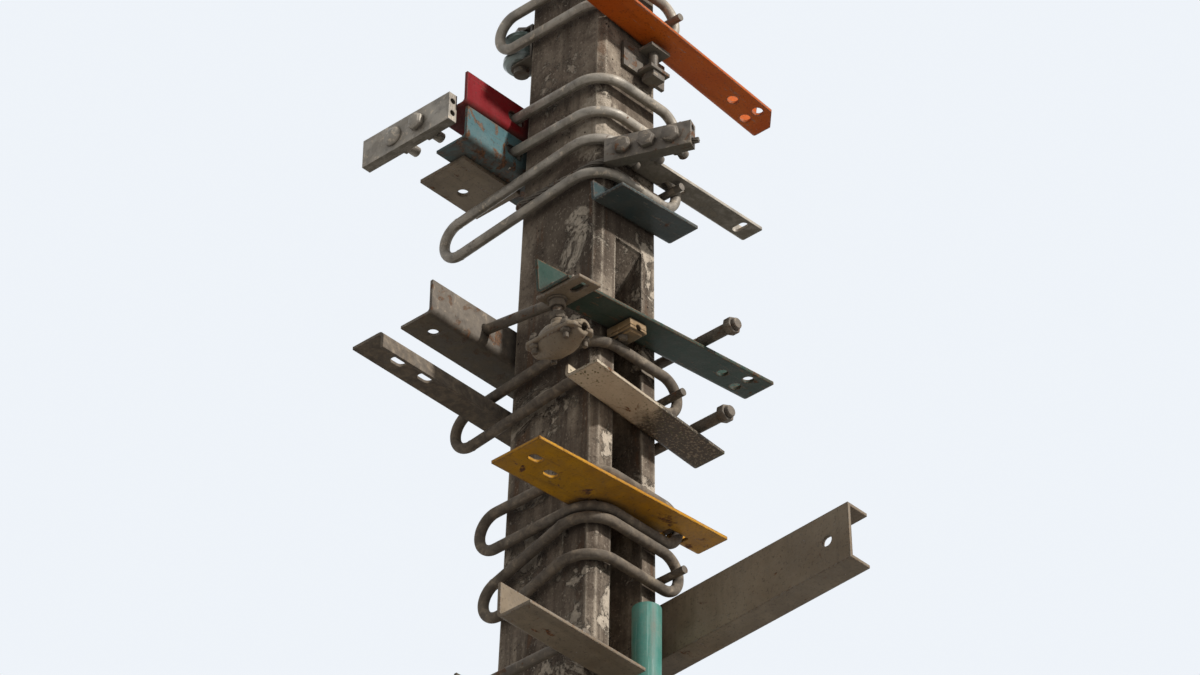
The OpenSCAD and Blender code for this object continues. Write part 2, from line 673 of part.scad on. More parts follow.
pole_shaft();
top_link();
top_key();
orange_arm();
face_bracket();
insulator();
insulator_bracket();
upper_link();
upper_key();
red_arm();
teal_arm();
tan_plate();
strand_clamp();
middle_link();
middle_key();
narrow_arm();
dark_teal_arm();
guy_clamp();
guy_strand();
lower_link();
lower_key();
slotted_arm();
green_arm();
green_twin_arm();
green_tie_rods();
suspension_clamp();
small_clamp();
cream_arm();
cream_backing_plate();
cream_tie_rod();
yellow_arm();
yellow_link();
yellow_key();
bottom_link();
bottom_key();
back_channel();
beige_arm();
beige_backing_bar();
beige_tie_rods();
riser_pipe();
pipe_clips();
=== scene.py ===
"""Finishes and small hardware for the concrete telephone pole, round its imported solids."""

import json
import logging
import math
from collections.abc import Callable, Iterator, Sequence
from contextlib import contextmanager
from dataclasses import dataclass, field
from enum import Enum
from functools import reduce

import bpy
from mathutils import Matrix, Quaternion, Vector


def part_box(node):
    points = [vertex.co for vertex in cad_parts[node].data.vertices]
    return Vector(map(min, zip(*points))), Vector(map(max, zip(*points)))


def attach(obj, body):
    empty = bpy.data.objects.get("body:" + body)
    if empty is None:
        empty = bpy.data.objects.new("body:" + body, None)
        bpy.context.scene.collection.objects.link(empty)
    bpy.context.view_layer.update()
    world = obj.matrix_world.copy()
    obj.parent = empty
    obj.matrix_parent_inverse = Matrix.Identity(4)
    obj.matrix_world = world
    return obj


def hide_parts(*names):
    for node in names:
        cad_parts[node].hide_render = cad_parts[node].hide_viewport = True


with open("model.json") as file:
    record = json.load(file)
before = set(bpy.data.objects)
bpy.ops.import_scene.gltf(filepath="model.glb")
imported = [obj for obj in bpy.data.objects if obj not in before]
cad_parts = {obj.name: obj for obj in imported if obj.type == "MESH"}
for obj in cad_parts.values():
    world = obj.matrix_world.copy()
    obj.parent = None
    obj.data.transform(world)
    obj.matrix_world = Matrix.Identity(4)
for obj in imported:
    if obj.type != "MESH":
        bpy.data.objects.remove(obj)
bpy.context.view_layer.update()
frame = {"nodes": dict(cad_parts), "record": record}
LOG = logging.getLogger("pole")
MM = 0.001
UP = Vector((0, 0, 1))
Colour = tuple[float, float, float]
Point = tuple[float, float, float]
Piece = bpy.types.Object
Socket = bpy.types.NodeSocket
Value = Socket | float
Tint = Socket | Colour


class Slot(Enum):
    """The record's material slots."""

    CONCRETE = "weathered_concrete"
    ZINC = "dusty_galvanised"
    RUSTY = "rusty_steel"
    BRASS = "brass_tan"
    ORANGE = "orange_paint"
    RED = "red_paint"
    TEAL = "teal_paint"
    DARK_TEAL = "dark_teal_paint"
    GREEN = "green_paint"
    CREAM = "cream_paint"
    YELLOW = "yellow_paint"
    BEIGE = "beige_dust"
    PORCELAIN = "glazed_porcelain"
    PIPE = "green_pipe"


class Pick(Enum):
    """What a selection in edit mode is made of."""

    VERTS = (True, False, False)
    FACES = (False, False, True)


class Axis(Enum):
    """The turn that lays a cylinder along an axis."""

    X = (0.0, math.pi / 2, 0.0)
    Z = (0.0, 0.0, 0.0)


class Kind(Enum):
    """The kinds of small part that are modelled once and copied."""

    NUT16 = "nut16"
    WASHER16 = "washer16"
    PLATE16 = "plate16"
    THREAD16 = "thread16"
    LONG16 = "long16"
    STUD16 = "stud16"
    HEAD16 = "head16"
    DOME16 = "dome16"
    NUT14 = "nut14"
    WASHER14 = "washer14"
    STEM14 = "stem14"
    NUT8 = "nut8"
    STUD8 = "stud8"
    HEAD8 = "head8"


# Shader building


@dataclass(frozen=True)
class Grain:
    """A noise pattern.

    Attributes:
        scale: how many of its spots lie along a metre.
        detail: how many finer layers it has.
        rough: how strong the finer layers are.
        twist: how far it is twisted.
        stretch: scale of the coordinates along each axis, or None for no stretch.
    """

    scale: Value
    detail: float = 5.0
    rough: float = 0.55
    twist: float = 0.0
    stretch: Point | None = None


class Net:
    """Adds nodes to one tree and joins them."""

    def __init__(self, tree: bpy.types.NodeTree) -> None:
        """Keep the tree that the nodes go to."""
        self.tree = tree

    def feed(self, socket: Socket, value: Value | Tint) -> None:
        """Join a value to an input, or set the input to it.

        Args:
            socket: the input.
            value: a socket to join, or a number, point or colour.
        """
        if isinstance(value, Socket):
            self.tree.links.new(value, socket)
        elif isinstance(value, tuple) and socket.type == "RGBA":
            socket.default_value = (*value, 1.0)
        else:
            socket.default_value = value

    def add(self, kind: str, inputs: dict[str | int, Value | Tint] | None = None,
            **settings: object) -> bpy.types.Node:
        """Add a node and set or join its inputs.

        Args:
            kind: the node's type without its ShaderNode prefix.
            inputs: for each input name or number, a socket to join or a value.
            **settings: the node's own properties.

        Returns:
            The new node.
        """
        node = self.tree.nodes.new("ShaderNode" + kind)
        for key, value in settings.items():
            setattr(node, key, value)
        for key, value in (inputs or {}).items():
            self.feed(node.inputs[key], value)
        return node

    def math(self, operation: str, a: Value, b: Value, clamp: bool = False) -> Socket:
        """Join a math node and return its value."""
        return self.add("Math", {0: a, 1: b}, operation=operation, use_clamp=clamp).outputs[0]

    def plus(self, a: Value, b: Value) -> Socket:
        """Return the sum of two values."""
        return self.math("ADD", a, b)

    def minus(self, a: Value, b: Value) -> Socket:
        """Return the first value less the second."""
        return self.math("SUBTRACT", a, b)

    def times(self, *values: Value) -> Socket:
        """Return the product of values."""
        return reduce(lambda a, b: self.math("MULTIPLY", a, b), values)

    def most(self, *values: Value) -> Socket:
        """Return the greatest of values."""
        return reduce(lambda a, b: self.math("MAXIMUM", a, b), values)

    def mix(self, factor: Value, a: Tint, b: Tint) -> Socket:
        """Mix two colours by a factor and return the colour."""
        return self.add("Mix", {0: factor, 6: a, 7: b}, data_type="RGBA").outputs[2]

    def step(self, value: Value, low: float, high: float, start: float = 0.0, end: float = 1.0) -> Socket:
        """Return a smooth step of a value.

        Args:
            value: what it reads.
            low: where the step begins.
            high: where it ends, which may be lower than low.
            start: its result up to low.
            end: its result from high on.

        Returns:
            The result.
        """
        return self.add("MapRange", {"Value": value, "From Min": low, "From Max": high, "To Min": start,
                                     "To Max": end}, interpolation_type="SMOOTHSTEP").outputs[0]

    def noise(self, place: Socket, grain: Grain) -> Socket:
        """Return the value of a noise pattern.

        Args:
            place: the coordinates.
            grain: the pattern.

        Returns:
            Its value, about 0 to 1.
        """
        if grain.stretch:
            place = self.add("Mapping", {"Vector": place, "Scale": grain.stretch}).outputs[0]
        return self.add("TexNoise", {"Vector": place, "Scale": grain.scale, "Detail": grain.detail,
                                     "Roughness": grain.rough, "Distortion": grain.twist}).outputs[0]

    def facing_up(self) -> Socket:
        """Return how far the surface faces up, from -1 to 1."""
        return self.add("SeparateXYZ", {0: self.add("NewGeometry").outputs["Normal"]}).outputs[2]

    def seen(self) -> Socket:
        """Return 1 where the camera, a mirror or a glass looks, and 0 for the light on things."""
        ray = self.add("LightPath").outputs
        return self.most(ray["Is Camera Ray"], ray["Is Glossy Ray"], ray["Is Transmission Ray"])


def shader_group(name: str, takes: dict[str, float], gives: dict[str, str],
                 fill: Callable[[Net, dict[str, Socket]], dict[str, Socket]]) -> bpy.types.NodeTree:
    """Make a shader group that takes coordinates and named numbers.

    Args:
        name: the group's name.
        takes: for each number that it takes, its first value.
        gives: for each output, its socket type.
        fill: makes its nodes, from the net and the inputs by name, and returns what goes to the outputs.

    Returns:
        The group's tree.
    """
    tree = bpy.data.node_groups.new(name, "ShaderNodeTree")
    tree.interface.new_socket(name="Vector", in_out="INPUT", socket_type="NodeSocketVector")
    for key, value in takes.items():
        socket = tree.interface.new_socket(name=key, in_out="INPUT", socket_type="NodeSocketFloat")
        socket.default_value = value
    for key, kind in gives.items():
        tree.interface.new_socket(name=key, in_out="OUTPUT", socket_type="NodeSocket" + kind)
    source = tree.nodes.new("NodeGroupInput")
    sink = tree.nodes.new("NodeGroupOutput")
    results = fill(Net(tree), {key: source.outputs[key] for key in ("Vector", *takes)})
    for key, value in results.items():
        tree.links.new(value, sink.inputs[key])
    return tree


class Effects:
    """The shader groups that the finishes share."""

    def __init__(self) -> None:
        """Build each group once."""
        self.edges = shader_group("worn_edges", {"Radius": 0.002, "Breaks": 60.0},
                                  {"Mask": "Float", "Normal": "Vector"}, self._edges)
        self.dust = shader_group("settled_dust", {"Amount": 0.5}, {"Mask": "Float"}, self._dust)
        self.rust = shader_group("rust_patches", {"Scale": 20.0, "Amount": 0.3},
                                 {"Mask": "Float", "Color": "Color", "Height": "Float"}, self._rust)
        self.grime_and_shade = shader_group("grime_and_painted_shade_in_corners", {"Reach": 0.02}, {"Mask": "Float"}, self._grime_and_shade)

    @staticmethod
    def _edges(net: Net, takes: dict[str, Socket]) -> dict[str, Socket]:
        """Find the edges, round them and break the mask up.

        Args:
            net: the group's nodes.
            takes: its inputs.

        Returns:
            Its outputs.
        """
        bevel = net.add("Bevel", {"Radius": takes["Radius"]}, samples=4).outputs[0]
        face = net.add("NewGeometry").outputs["True Normal"]
        turned = net.add("VectorMath", {0: bevel, 1: face}, operation="DOT_PRODUCT").outputs["Value"]
        edge = net.step(net.minus(1.0, turned), 0.006, 0.09)
        ragged = net.step(net.noise(takes["Vector"], Grain(takes["Breaks"], 6.0, 0.6)), 0.32, 0.54)
        return {"Mask": net.math("MULTIPLY", edge, ragged, True), "Normal": bevel}

    @staticmethod
    def _dust(net: Net, takes: dict[str, Socket]) -> dict[str, Socket]:
        """Lay dust on what faces up and blow it about elsewhere.

        Args:
            net: the group's nodes.
            takes: its inputs.

        Returns:
            Its outputs.
        """
        lying = net.step(net.facing_up(), -0.3, 0.9, 0.35, 1.0)
        cloud = net.step(net.noise(takes["Vector"], Grain(17.0, 7.0, 0.62, 0.4)), 0.34, 0.70)
        speck = net.step(net.noise(takes["Vector"], Grain(210.0, 3.0, 0.6)), 0.42, 0.62, 0.55, 1.0)
        return {"Mask": net.math("MINIMUM", net.times(lying, cloud, speck, takes["Amount"]), 1.0, True)}

    @staticmethod
    def _rust(net: Net, takes: dict[str, Socket]) -> dict[str, Socket]:
        """Eat rust into patches, the more of them the greater the amount.

        Args:
            net: the group's nodes.
            takes: its inputs.

        Returns:
            Its outputs.
        """
        shape = net.noise(takes["Vector"], Grain(takes["Scale"], 8.0, 0.65, 0.5))
        low = net.minus(0.74, net.times(takes["Amount"], 0.42))
        mask = net.step(net.minus(shape, low), 0.0, 0.07)
        grain = net.noise(takes["Vector"], Grain(330.0, 4.0, 0.6))
        colour = net.mix(net.step(grain, 0.35, 0.65), (0.055, 0.028, 0.018), (0.20, 0.085, 0.034))
        return {"Mask": mask, "Color": colour, "Height": net.times(mask, net.minus(grain, 0.25))}

    @staticmethod
    def _grime_and_shade(net: Net, takes: dict[str, Socket]) -> dict[str, Socket]:
        """Find the places that other faces close in, for the dirt and painted shade there.

        Args:
            net: the group's nodes.
            takes: its inputs.

        Returns:
            Its outputs.
        """
        # Painted shade where other faces close in, broken up by a cloud of noise.
        shade = net.add("AmbientOcclusion", {"Distance": takes["Reach"]}, samples=6).outputs["AO"]
        near = net.step(shade, 0.35, 0.95, 1.0, 0.0)
        cloud = net.step(net.noise(takes["Vector"], Grain(34.0, 6.0, 0.6)), 0.25, 0.65, 0.45, 1.0)
        return {"Mask": net.math("MULTIPLY", near, cloud, True)}


class Look:
    """A material under way: its nodes, its coordinates and its colour so far."""

    def __init__(self, name: str) -> None:
        """Start a material.

        Args:
            name: its name.
        """
        self.material = bpy.data.materials.new(name)
        self.material.use_nodes = True
        self.net = Net(self.material.node_tree)
        self.shader = self.material.node_tree.nodes["Principled BSDF"]
        self.place = self.net.add("TexCoord").outputs["Object"]
        self.colour: Tint = (0.5, 0.5, 0.5)

    def noise(self, grain: Grain) -> Socket:
        """Return the value of a noise pattern."""
        return self.net.noise(self.place, grain)

    def cells(self, scale: float, output: str = "Distance") -> Socket:
        """Return the distance to the nearest of scattered points, or its cell's colour."""
        return self.net.add("TexVoronoi", {"Vector": self.place, "Scale": scale}).outputs[output]

    def along(self, axis: int) -> Socket:
        """Return a coordinate in metres: 0 for X, 1 for Y, 2 for the level."""
        return self.net.add("SeparateXYZ", {0: self.place}).outputs[axis]

    def tint(self, mask: Value, colour: Tint, strength: float | None = None) -> None:
        """Lay a colour over the one so far.

        Args:
            mask: where it lies, 0 to 1.
            colour: the colour.
            strength: how much of it there is, or None for all of it.
        """
        factor = mask if strength is None else self.net.times(mask, strength)
        self.colour = self.net.mix(factor, self.colour, colour)

    def effect(self, tree: bpy.types.NodeTree, **values: float) -> bpy.types.bpy_prop_collection:
        """Place a shared group with its own values and return its outputs."""
        return self.net.add("Group", {"Vector": self.place, **values}, node_tree=tree).outputs

    def bump(self, height: Socket, depth: float, normal: Socket | None = None) -> Socket:
        """Return the normal of a relief.

        Args:
            height: the relief.
            depth: how deep a height of 1 is, in metres.
            normal: the normal under it, if it isn't the mesh's own.

        Returns:
            The normal.
        """
        inputs = {"Height": height, "Distance": depth, "Strength": 1.0}
        if normal is not None:
            inputs["Normal"] = normal
        return self.net.add("Bump", inputs).outputs[0]

    def finish(self, inputs: dict[str, Value]) -> None:
        """Give the shader the colour and its other inputs by name."""
        for key, value in {"Base Color": self.colour, **inputs}.items():
            self.net.feed(self.shader.inputs[key], value)


@dataclass
class Palette:
    """Materials by slot, with the shared effects that they use."""

    effects: Effects
    made: dict[Slot, bpy.types.Material] = field(default_factory=dict)

    def start(self, slot: Slot) -> Look:
        """Begin the material of a slot.

        Args:
            slot: the record's slot.

        Returns:
            The material under way.
        """
        look = Look(slot.value)
        self.made[slot] = look.material
        return look


def scaled(colour: Colour, by: float) -> Colour:
    """Return a colour made darker or lighter."""
    return tuple(min(1.0, by * part) for part in colour)


@dataclass(frozen=True)
class Spall:
    """A place where the concrete's skin has broken away down to the stones, in metres."""

    centre: Point
    radius: float


@dataclass(frozen=True)
class Concrete:
    """Cast concrete with stains, sand showing and skin that has come away in patches.

    Attributes:
        slot: the record's slot.
        body: its common colour.
        light: its lighter colour.
        stain: colour of smoke-black stains and of runs of dirty water, and of the painted shade in
            corners.
        pale: colour where its skin has gone, and of its edges and sand.
        hole: colour in its holes.
        mud: colour of what the rain throws up from the ground.
        iron: colour of what runs off the rusty fittings.
        broad: pattern of the widest stains.
        blots: pattern of the blots.
        skin: pattern of the patches where its skin has gone.
        middle: pattern of its two common colours.
        runs: pattern of the runs of dirty water.
        crumbs: pattern of a broken rim.
        fine: its finest pattern.
        sand: pattern of the sand.
        air_holes: how many air holes lie along a metre.
        stones: how many stones lie along a metre.
        spalls: where its skin has broken away.
        fittings: lowest and highest level of the fittings that stain it, in metres.
        splash: how high the mud reaches, in metres.
    """

    slot: Slot = Slot.CONCRETE
    body: Colour = (0.190, 0.145, 0.106)
    light: Colour = (0.36, 0.290, 0.215)
    stain: Colour = (0.060, 0.043, 0.031)
    pale: Colour = (0.62, 0.52, 0.40)
    hole: Colour = (0.030, 0.023, 0.018)
    mud: Colour = (0.130, 0.100, 0.068)
    iron: Colour = (0.165, 0.085, 0.044)
    broad: Grain = Grain(3.1, 6.0, 0.6, 0.3)
    blots: Grain = Grain(6.5, 9.0, 0.62, 0.8)
    skin: Grain = Grain(10.0, 10.0, 0.72, 0.5)
    middle: Grain = Grain(19.0, 8.0, 0.66, 0.2)
    runs: Grain = Grain(34.0, 7.0, 0.62, 0.0, (1.0, 1.0, 0.06))
    crumbs: Grain = Grain(42.0, 7.0, 0.66, 0.6)
    fine: Grain = Grain(150.0, 5.0, 0.7)
    sand: Grain = Grain(290.0, 2.0, 0.5, 0.0, (1.0, 1.0, 0.8))
    air_holes: float = 85.0
    stones: float = 120.0
    spalls: tuple[Spall, ...] = (Spall((0.080, -0.062, 6.764), 0.056),
                                 Spall((0.042, -0.064, 6.607), 0.020))
    fittings: tuple[float, float] = (5.2, 7.05)
    splash: float = 0.85

    def _spalled(self, look: Look, crumbs: Socket, outer: float, inner: float) -> Value:
        """Find where the skin has broken away.

        Args:
            look: the material under way.
            crumbs: the pattern that makes the rim ragged.
            outer: where the rim begins, in the spall's radius.
            inner: where it ends.

        Returns:
            The mask.
        """
        net = look.net
        broken: Value = 0.0
        for spall in self.spalls:
            ends = {0: look.place, 1: spall.centre}
            apart = net.add("VectorMath", ends, operation="DISTANCE").outputs["Value"]
            ragged = net.plus(apart, net.times(net.minus(crumbs, 0.5), 1.9 * spall.radius))
            broken = net.most(broken, net.step(ragged, outer * spall.radius, inner * spall.radius))
        return broken

    def build(self, palette: Palette) -> None:
        """Make the material.

        Args:
            palette: where it is kept.
        """
        look, effects = palette.start(self.slot), palette.effects
        net, step = look.net, look.net.step
        broad, middle, fine = map(look.noise, (self.broad, self.middle, self.fine))
        runs, skin, crumbs, sand = map(look.noise, (self.runs, self.skin, self.crumbs, self.sand))
        look.colour = net.mix(step(middle, 0.36, 0.66), self.body, self.light)
        look.tint(step(fine, 0.42, 0.30, 0.0, 0.50), self.stain)
        look.tint(step(look.noise(self.blots), 0.52, 0.40, 0.0, 0.62), self.stain)
        look.tint(net.times(step(runs, 0.40, 0.62), step(broad, 0.30, 0.56)), self.stain, 0.82)
        gone = net.times(step(skin, 0.545, 0.585), step(broad, 0.38, 0.50))
        bared = net.most(gone, self._spalled(look, crumbs, 1.14, 0.84))
        look.tint(net.times(bared, step(fine, 0.25, 0.62, 0.30, 0.80)), self.pale)
        level, (low, high) = look.along(2), self.fittings
        under = net.times(step(level, low, low + 0.5), step(level, high, high - 0.15))
        look.tint(net.times(step(runs, 0.55, 0.64), under, step(skin, 0.54, 0.44)), self.iron, 0.55)
        edges = look.effect(effects.edges, Radius=0.007, Breaks=38.0)
        look.tint(edges["Mask"], self.pale, 0.75)
        look.tint(step(sand, 0.62, 0.70, 0.0, 0.32), self.pale)
        look.tint(step(sand, 0.37, 0.30, 0.0, 0.50), self.hole)
        # Dirt and painted shade in corners, in the stain colour.
        look.tint(look.effect(effects.grime_and_shade, Reach=0.035)["Mask"], self.stain, 0.8)
        wet = step(net.plus(level, net.times(middle, 0.6)), self.splash, self.splash - 0.55)
        look.tint(net.times(wet, step(fine, 0.2, 0.7, 0.55, 0.85)), self.mud)
        pits = net.times(step(look.cells(self.air_holes), 0.05, 0.17, 1.0, 0.0), step(middle, 0.48, 0.60))
        look.tint(pits, self.hole)
        stones = net.times(look.cells(self.stones), self._spalled(look, crumbs, 1.30, 0.50), 1.4)
        height = net.minus(net.plus(fine, net.times(sand, 0.4)), net.plus(net.times(pits, 2.0), stones))
        normal = look.bump(height, 0.0014, edges["Normal"])
        normal = look.bump(net.minus(middle, net.times(gone, 0.45)), 0.005, normal)
        look.finish({"Roughness": step(fine, 0.2, 0.8, 0.82, 0.98), "Specular IOR Level": 0.14,
                     "Normal": normal})


@dataclass(frozen=True)
class BareSteel:
    """Zinc-coated or bare steel with dust, rust and dirt, and painted shade in its corners, under it and
    towards the lower levels.

    Attributes:
        slot: the record's slot.
        metal: colour of the metal.
        dusty: colour of the dust.
        dust: how much of it there is, 0 to 1.
        rust: how much rust there is, 0 to 1.
        sheen: how metallic the clean metal is.
        lower_shade: how much painted shade darkens it towards the lower levels, 0 to 1.
        grime_and_shade: colour of the dirt and painted shade in its corners.
        underside: colour of the dirt and painted shade on faces that look down.
        lower_shade_colours: darkest and lightest colour of the painted shade on the lower levels.
        clouds: pattern of the lighter and darker metal.
        splashes: pattern of the splashes, of the dirt and painted shade on faces that look down and of
            the painted shade on the lower levels.
        fine: its finest pattern.
        spangles: how many crystals of its coat lie along a metre.
    """

    slot: Slot
    metal: Colour
    dusty: Colour
    dust: float
    rust: float
    sheen: float
    lower_shade: float = 0.0
    grime_and_shade: Colour = (0.050, 0.040, 0.031)
    underside: Colour = (0.120, 0.104, 0.074)
    lower_shade_colours: tuple[Colour, Colour] = ((0.072, 0.052, 0.036), (0.180, 0.134, 0.090))
    clouds: Grain = Grain(26.0, 6.0, 0.6)
    splashes: Grain = Grain(60.0, 8.0, 0.7, 0.4)
    fine: Grain = Grain(420.0, 4.0, 0.6)
    spangles: float = 130.0

    def build(self, palette: Palette) -> None:
        """Make the material.

        Args:
            palette: where it is kept.
        """
        look, effects = palette.start(self.slot), palette.effects
        net, step = look.net, look.net.step
        clouds, splashes, fine = map(look.noise, (self.clouds, self.splashes, self.fine))
        look.colour = net.mix(step(clouds, 0.38, 0.62), scaled(self.metal, 0.55), self.metal)
        look.tint(step(splashes, 0.57, 0.63, 0.0, 0.7), scaled(self.dusty, 1.45))
        look.tint(step(splashes, 0.43, 0.36, 0.0, 0.65), scaled(self.metal, 0.30))
        spangle = net.add("SeparateColor", {0: look.cells(self.spangles, "Color")}).outputs[0]
        look.tint(spangle, scaled(self.metal, 1.5), 0.22)
        edges = look.effect(effects.edges, Radius=0.0022, Breaks=120.0)
        look.tint(edges["Mask"], scaled(self.metal, 1.7), 0.5)
        rust = look.effect(effects.rust, Scale=38.0, Amount=self.rust)
        look.tint(rust["Mask"], rust["Color"])
        dust = look.effect(effects.dust, Amount=self.dust)["Mask"]
        look.tint(dust, self.dusty)
        # Dirt and painted shade on faces that look down, broken up by the splashes.
        dirt_and_shade_below = net.times(step(net.facing_up(), -0.86, -0.98), step(splashes, 0.34, 0.60, 0.40, 0.80))
        look.tint(dirt_and_shade_below, self.underside)
        # Painted shade, darker and browner towards the lower levels, mottled by the clouds and splashes.
        mottled_lower_shade = step(clouds, 0.2, 0.6, 0.6 * self.lower_shade, self.lower_shade)
        low = net.times(step(look.along(2), 6.80, 6.30), mottled_lower_shade)
        look.tint(low, net.mix(step(splashes, 0.40, 0.62), *self.lower_shade_colours))
        # Dirt and painted shade in the corners.
        corner = net.times(look.effect(effects.grime_and_shade, Reach=0.012)["Mask"], 0.75)
        look.tint(corner, self.grime_and_shade)
        cover = net.most(rust["Mask"], dust, dirt_and_shade_below, low, corner)
        clean = net.math("SUBTRACT", 1.0, cover, True)
        rough = net.plus(net.times(cover, 0.6), net.times(fine, 0.4))
        height = net.plus(net.times(fine, 0.5), net.times(rust["Height"], 1.4))
        normal = look.bump(clouds, 0.0012, look.bump(height, 0.0005, edges["Normal"]))
        look.finish({"Metallic": net.times(clean, self.sheen), "Specular IOR Level": 0.25,
                     "Roughness": step(rough, 0.1, 0.8, 0.42, 0.92), "Normal": normal})


@dataclass(frozen=True)
class Paint:
    """Paint on folded steel, chipped at its edges.

    Attributes:
        slot: the record's slot.
        coat: colour of the paint.
        faded: colour where it has faded.
        chips: how much of it has come away, 0 to 1.
        rust: how much rust shows, 0 to 1.
        dust: how much dust lies on it, 0 to 1.
        moss: how much moss grows on it, 0 to 1.
        bare: colour of what shows where the paint has gone.
        far_end_darkening: how dark its far end is made, 0 to 1.
        under: how much dirt and painted shade lie on what faces down, 0 to 1.
        dusty: colour of the dust.
        grime_and_shade: colour of the dirt and painted shade in its corners.
        downward_dirt_and_shade: colour of the dirt and painted shade on what faces down.
        far_end_dark: colour of the darker far end.
        tufts: colour of the moss.
        clouds: pattern of the faded paint.
        flakes: pattern of the flakes, of the dirt and painted shade on what faces down, and of the darker
            far end's rim.
        runs: pattern of the runs of dirty water.
        scratches: pattern of the scratches.
        fine: its finest pattern.
    """

    slot: Slot
    coat: Colour
    faded: Colour
    chips: float
    rust: float
    dust: float
    moss: float = 0.0
    bare: Colour = (0.30, 0.26, 0.215)
    far_end_darkening: float = 0.0
    under: float = 0.3
    dusty: Colour = (0.30, 0.26, 0.21)
    grime_and_shade: Colour = (0.05, 0.04, 0.03)
    downward_dirt_and_shade: Colour = (0.082, 0.066, 0.050)
    far_end_dark: Colour = (0.055, 0.042, 0.030)
    tufts: Colour = (0.10, 0.095, 0.045)
    clouds: Grain = Grain(9.0, 6.0, 0.6)
    flakes: Grain = Grain(46.0, 8.0, 0.68, 0.6)
    runs: Grain = Grain(60.0, 5.0, 0.6, 0.0, (1.0, 0.12, 0.12))
    scratches: Grain = Grain(190.0, 4.0, 0.62, 0.3, (0.9, 0.10, 0.9))
    fine: Grain = Grain(260.0, 5.0, 0.6)

    def build(self, palette: Palette) -> None:
        """Make the material.

        Args:
            palette: where it is kept.
        """
        look, effects = palette.start(self.slot), palette.effects
        net, step = look.net, look.net.step
        clouds, flakes, fine = map(look.noise, (self.clouds, self.flakes, self.fine))
        look.colour = net.mix(step(clouds, 0.34, 0.68), self.coat, self.faded)
        look.tint(step(look.noise(self.runs), 0.50, 0.72, 0.0, 0.30), scaled(self.coat, 0.45))
        edges = look.effect(effects.edges, Radius=0.0040, Breaks=70.0)
        least = 0.76 - 0.30 * self.chips
        worn = net.times(step(look.noise(self.scratches), 0.60, 0.66), step(clouds, 0.40, 0.62), 0.6)
        chip = net.most(edges["Mask"], step(flakes, least, least + 0.025), worn)
        look.tint(step(fine, 0.44, 0.34, 0.0, 0.55), scaled(self.coat, 0.42))
        # Dirt and painted shade on what faces down.
        dirt_and_shade_below = net.times(step(net.facing_up(), 0.1, -0.8), step(flakes, 0.34, 0.60, 0.35, 1.0))
        look.tint(dirt_and_shade_below, self.downward_dirt_and_shade, self.under)
        rust = look.effect(effects.rust, Scale=27.0, Amount=self.rust)
        look.tint(chip, net.mix(step(fine, 0.40, 0.60), self.bare, rust["Color"]), 0.9)
        look.tint(rust["Mask"], rust["Color"])
        dust = look.effect(effects.dust, Amount=self.dust)["Mask"]
        look.tint(dust, self.dusty)
        # Dirt and painted shade in the corners.
        dirt = net.times(look.effect(effects.grime_and_shade, Reach=0.016)["Mask"], 0.7)
        look.tint(dirt, self.grime_and_shade)
        # Darker from about Y = 0 out to the far end, with a ragged rim and speckles.
        if self.far_end_darkening:
            reach = net.plus(look.along(1), net.times(net.minus(flakes, 0.5), 0.09))
            speckled = step(fine, 0.62, 0.52, 0.55, self.far_end_darkening)
            look.tint(net.times(step(reach, -0.012, 0.022), speckled), self.far_end_dark)
        if self.moss:
            grown = net.times(step(look.cells(150.0), 0.16, 0.30, 1.0, 0.0), step(clouds, 0.42, 0.58))
            look.tint(grown, self.tufts, self.moss)
        cover = net.most(rust["Mask"], dust, dirt)
        height = net.minus(net.times(fine, 0.25), net.times(chip, 0.55))
        height = net.plus(height, net.times(rust["Height"], 1.2))
        normal = look.bump(clouds, 0.003, look.bump(height, 0.0005, edges["Normal"]))
        look.finish({"Roughness": step(net.plus(cover, net.times(fine, 0.3)), 0.0, 1.0, 0.42, 0.9),
                     "Specular IOR Level": 0.14, "Normal": normal})


@dataclass(frozen=True)
class Glaze:
    """Glazed porcelain with road dust on it.

    Attributes:
        slot: the record's slot.
        body: its colour.
        dusty: colour of the dust.
        grime_and_shade: colour of the dirt and painted shade in its corners.
        clouds: pattern of the lighter and darker glaze.
    """

    slot: Slot = Slot.PORCELAIN
    body: Colour = (0.150, 0.205, 0.180)
    dusty: Colour = (0.33, 0.29, 0.24)
    grime_and_shade: Colour = (0.07, 0.055, 0.045)
    clouds: Grain = Grain(40.0, 5.0, 0.55)

    def build(self, palette: Palette) -> None:
        """Make the material.

        Args:
            palette: where it is kept.
        """
        look, effects = palette.start(self.slot), palette.effects
        net, step = look.net, look.net.step
        clouds = look.noise(self.clouds)
        look.colour = net.mix(step(clouds, 0.3, 0.7), self.body, scaled(self.body, 1.35))
        dust = look.effect(effects.dust, Amount=0.7)["Mask"]
        # Dirt and painted shade in the corners.
        grime_and_shade = look.effect(effects.grime_and_shade, Reach=0.02)["Mask"]
        look.tint(dust, self.dusty)
        look.tint(grime_and_shade, self.grime_and_shade, 0.8)
        cover = net.most(dust, grime_and_shade)
        look.finish({"Roughness": step(cover, 0.0, 0.8, 0.14, 0.8), "Coat Roughness": 0.08,
                     "Coat Weight": step(cover, 0.0, 0.5, 0.7, 0.0), "Normal": look.bump(clouds, 0.0006)})


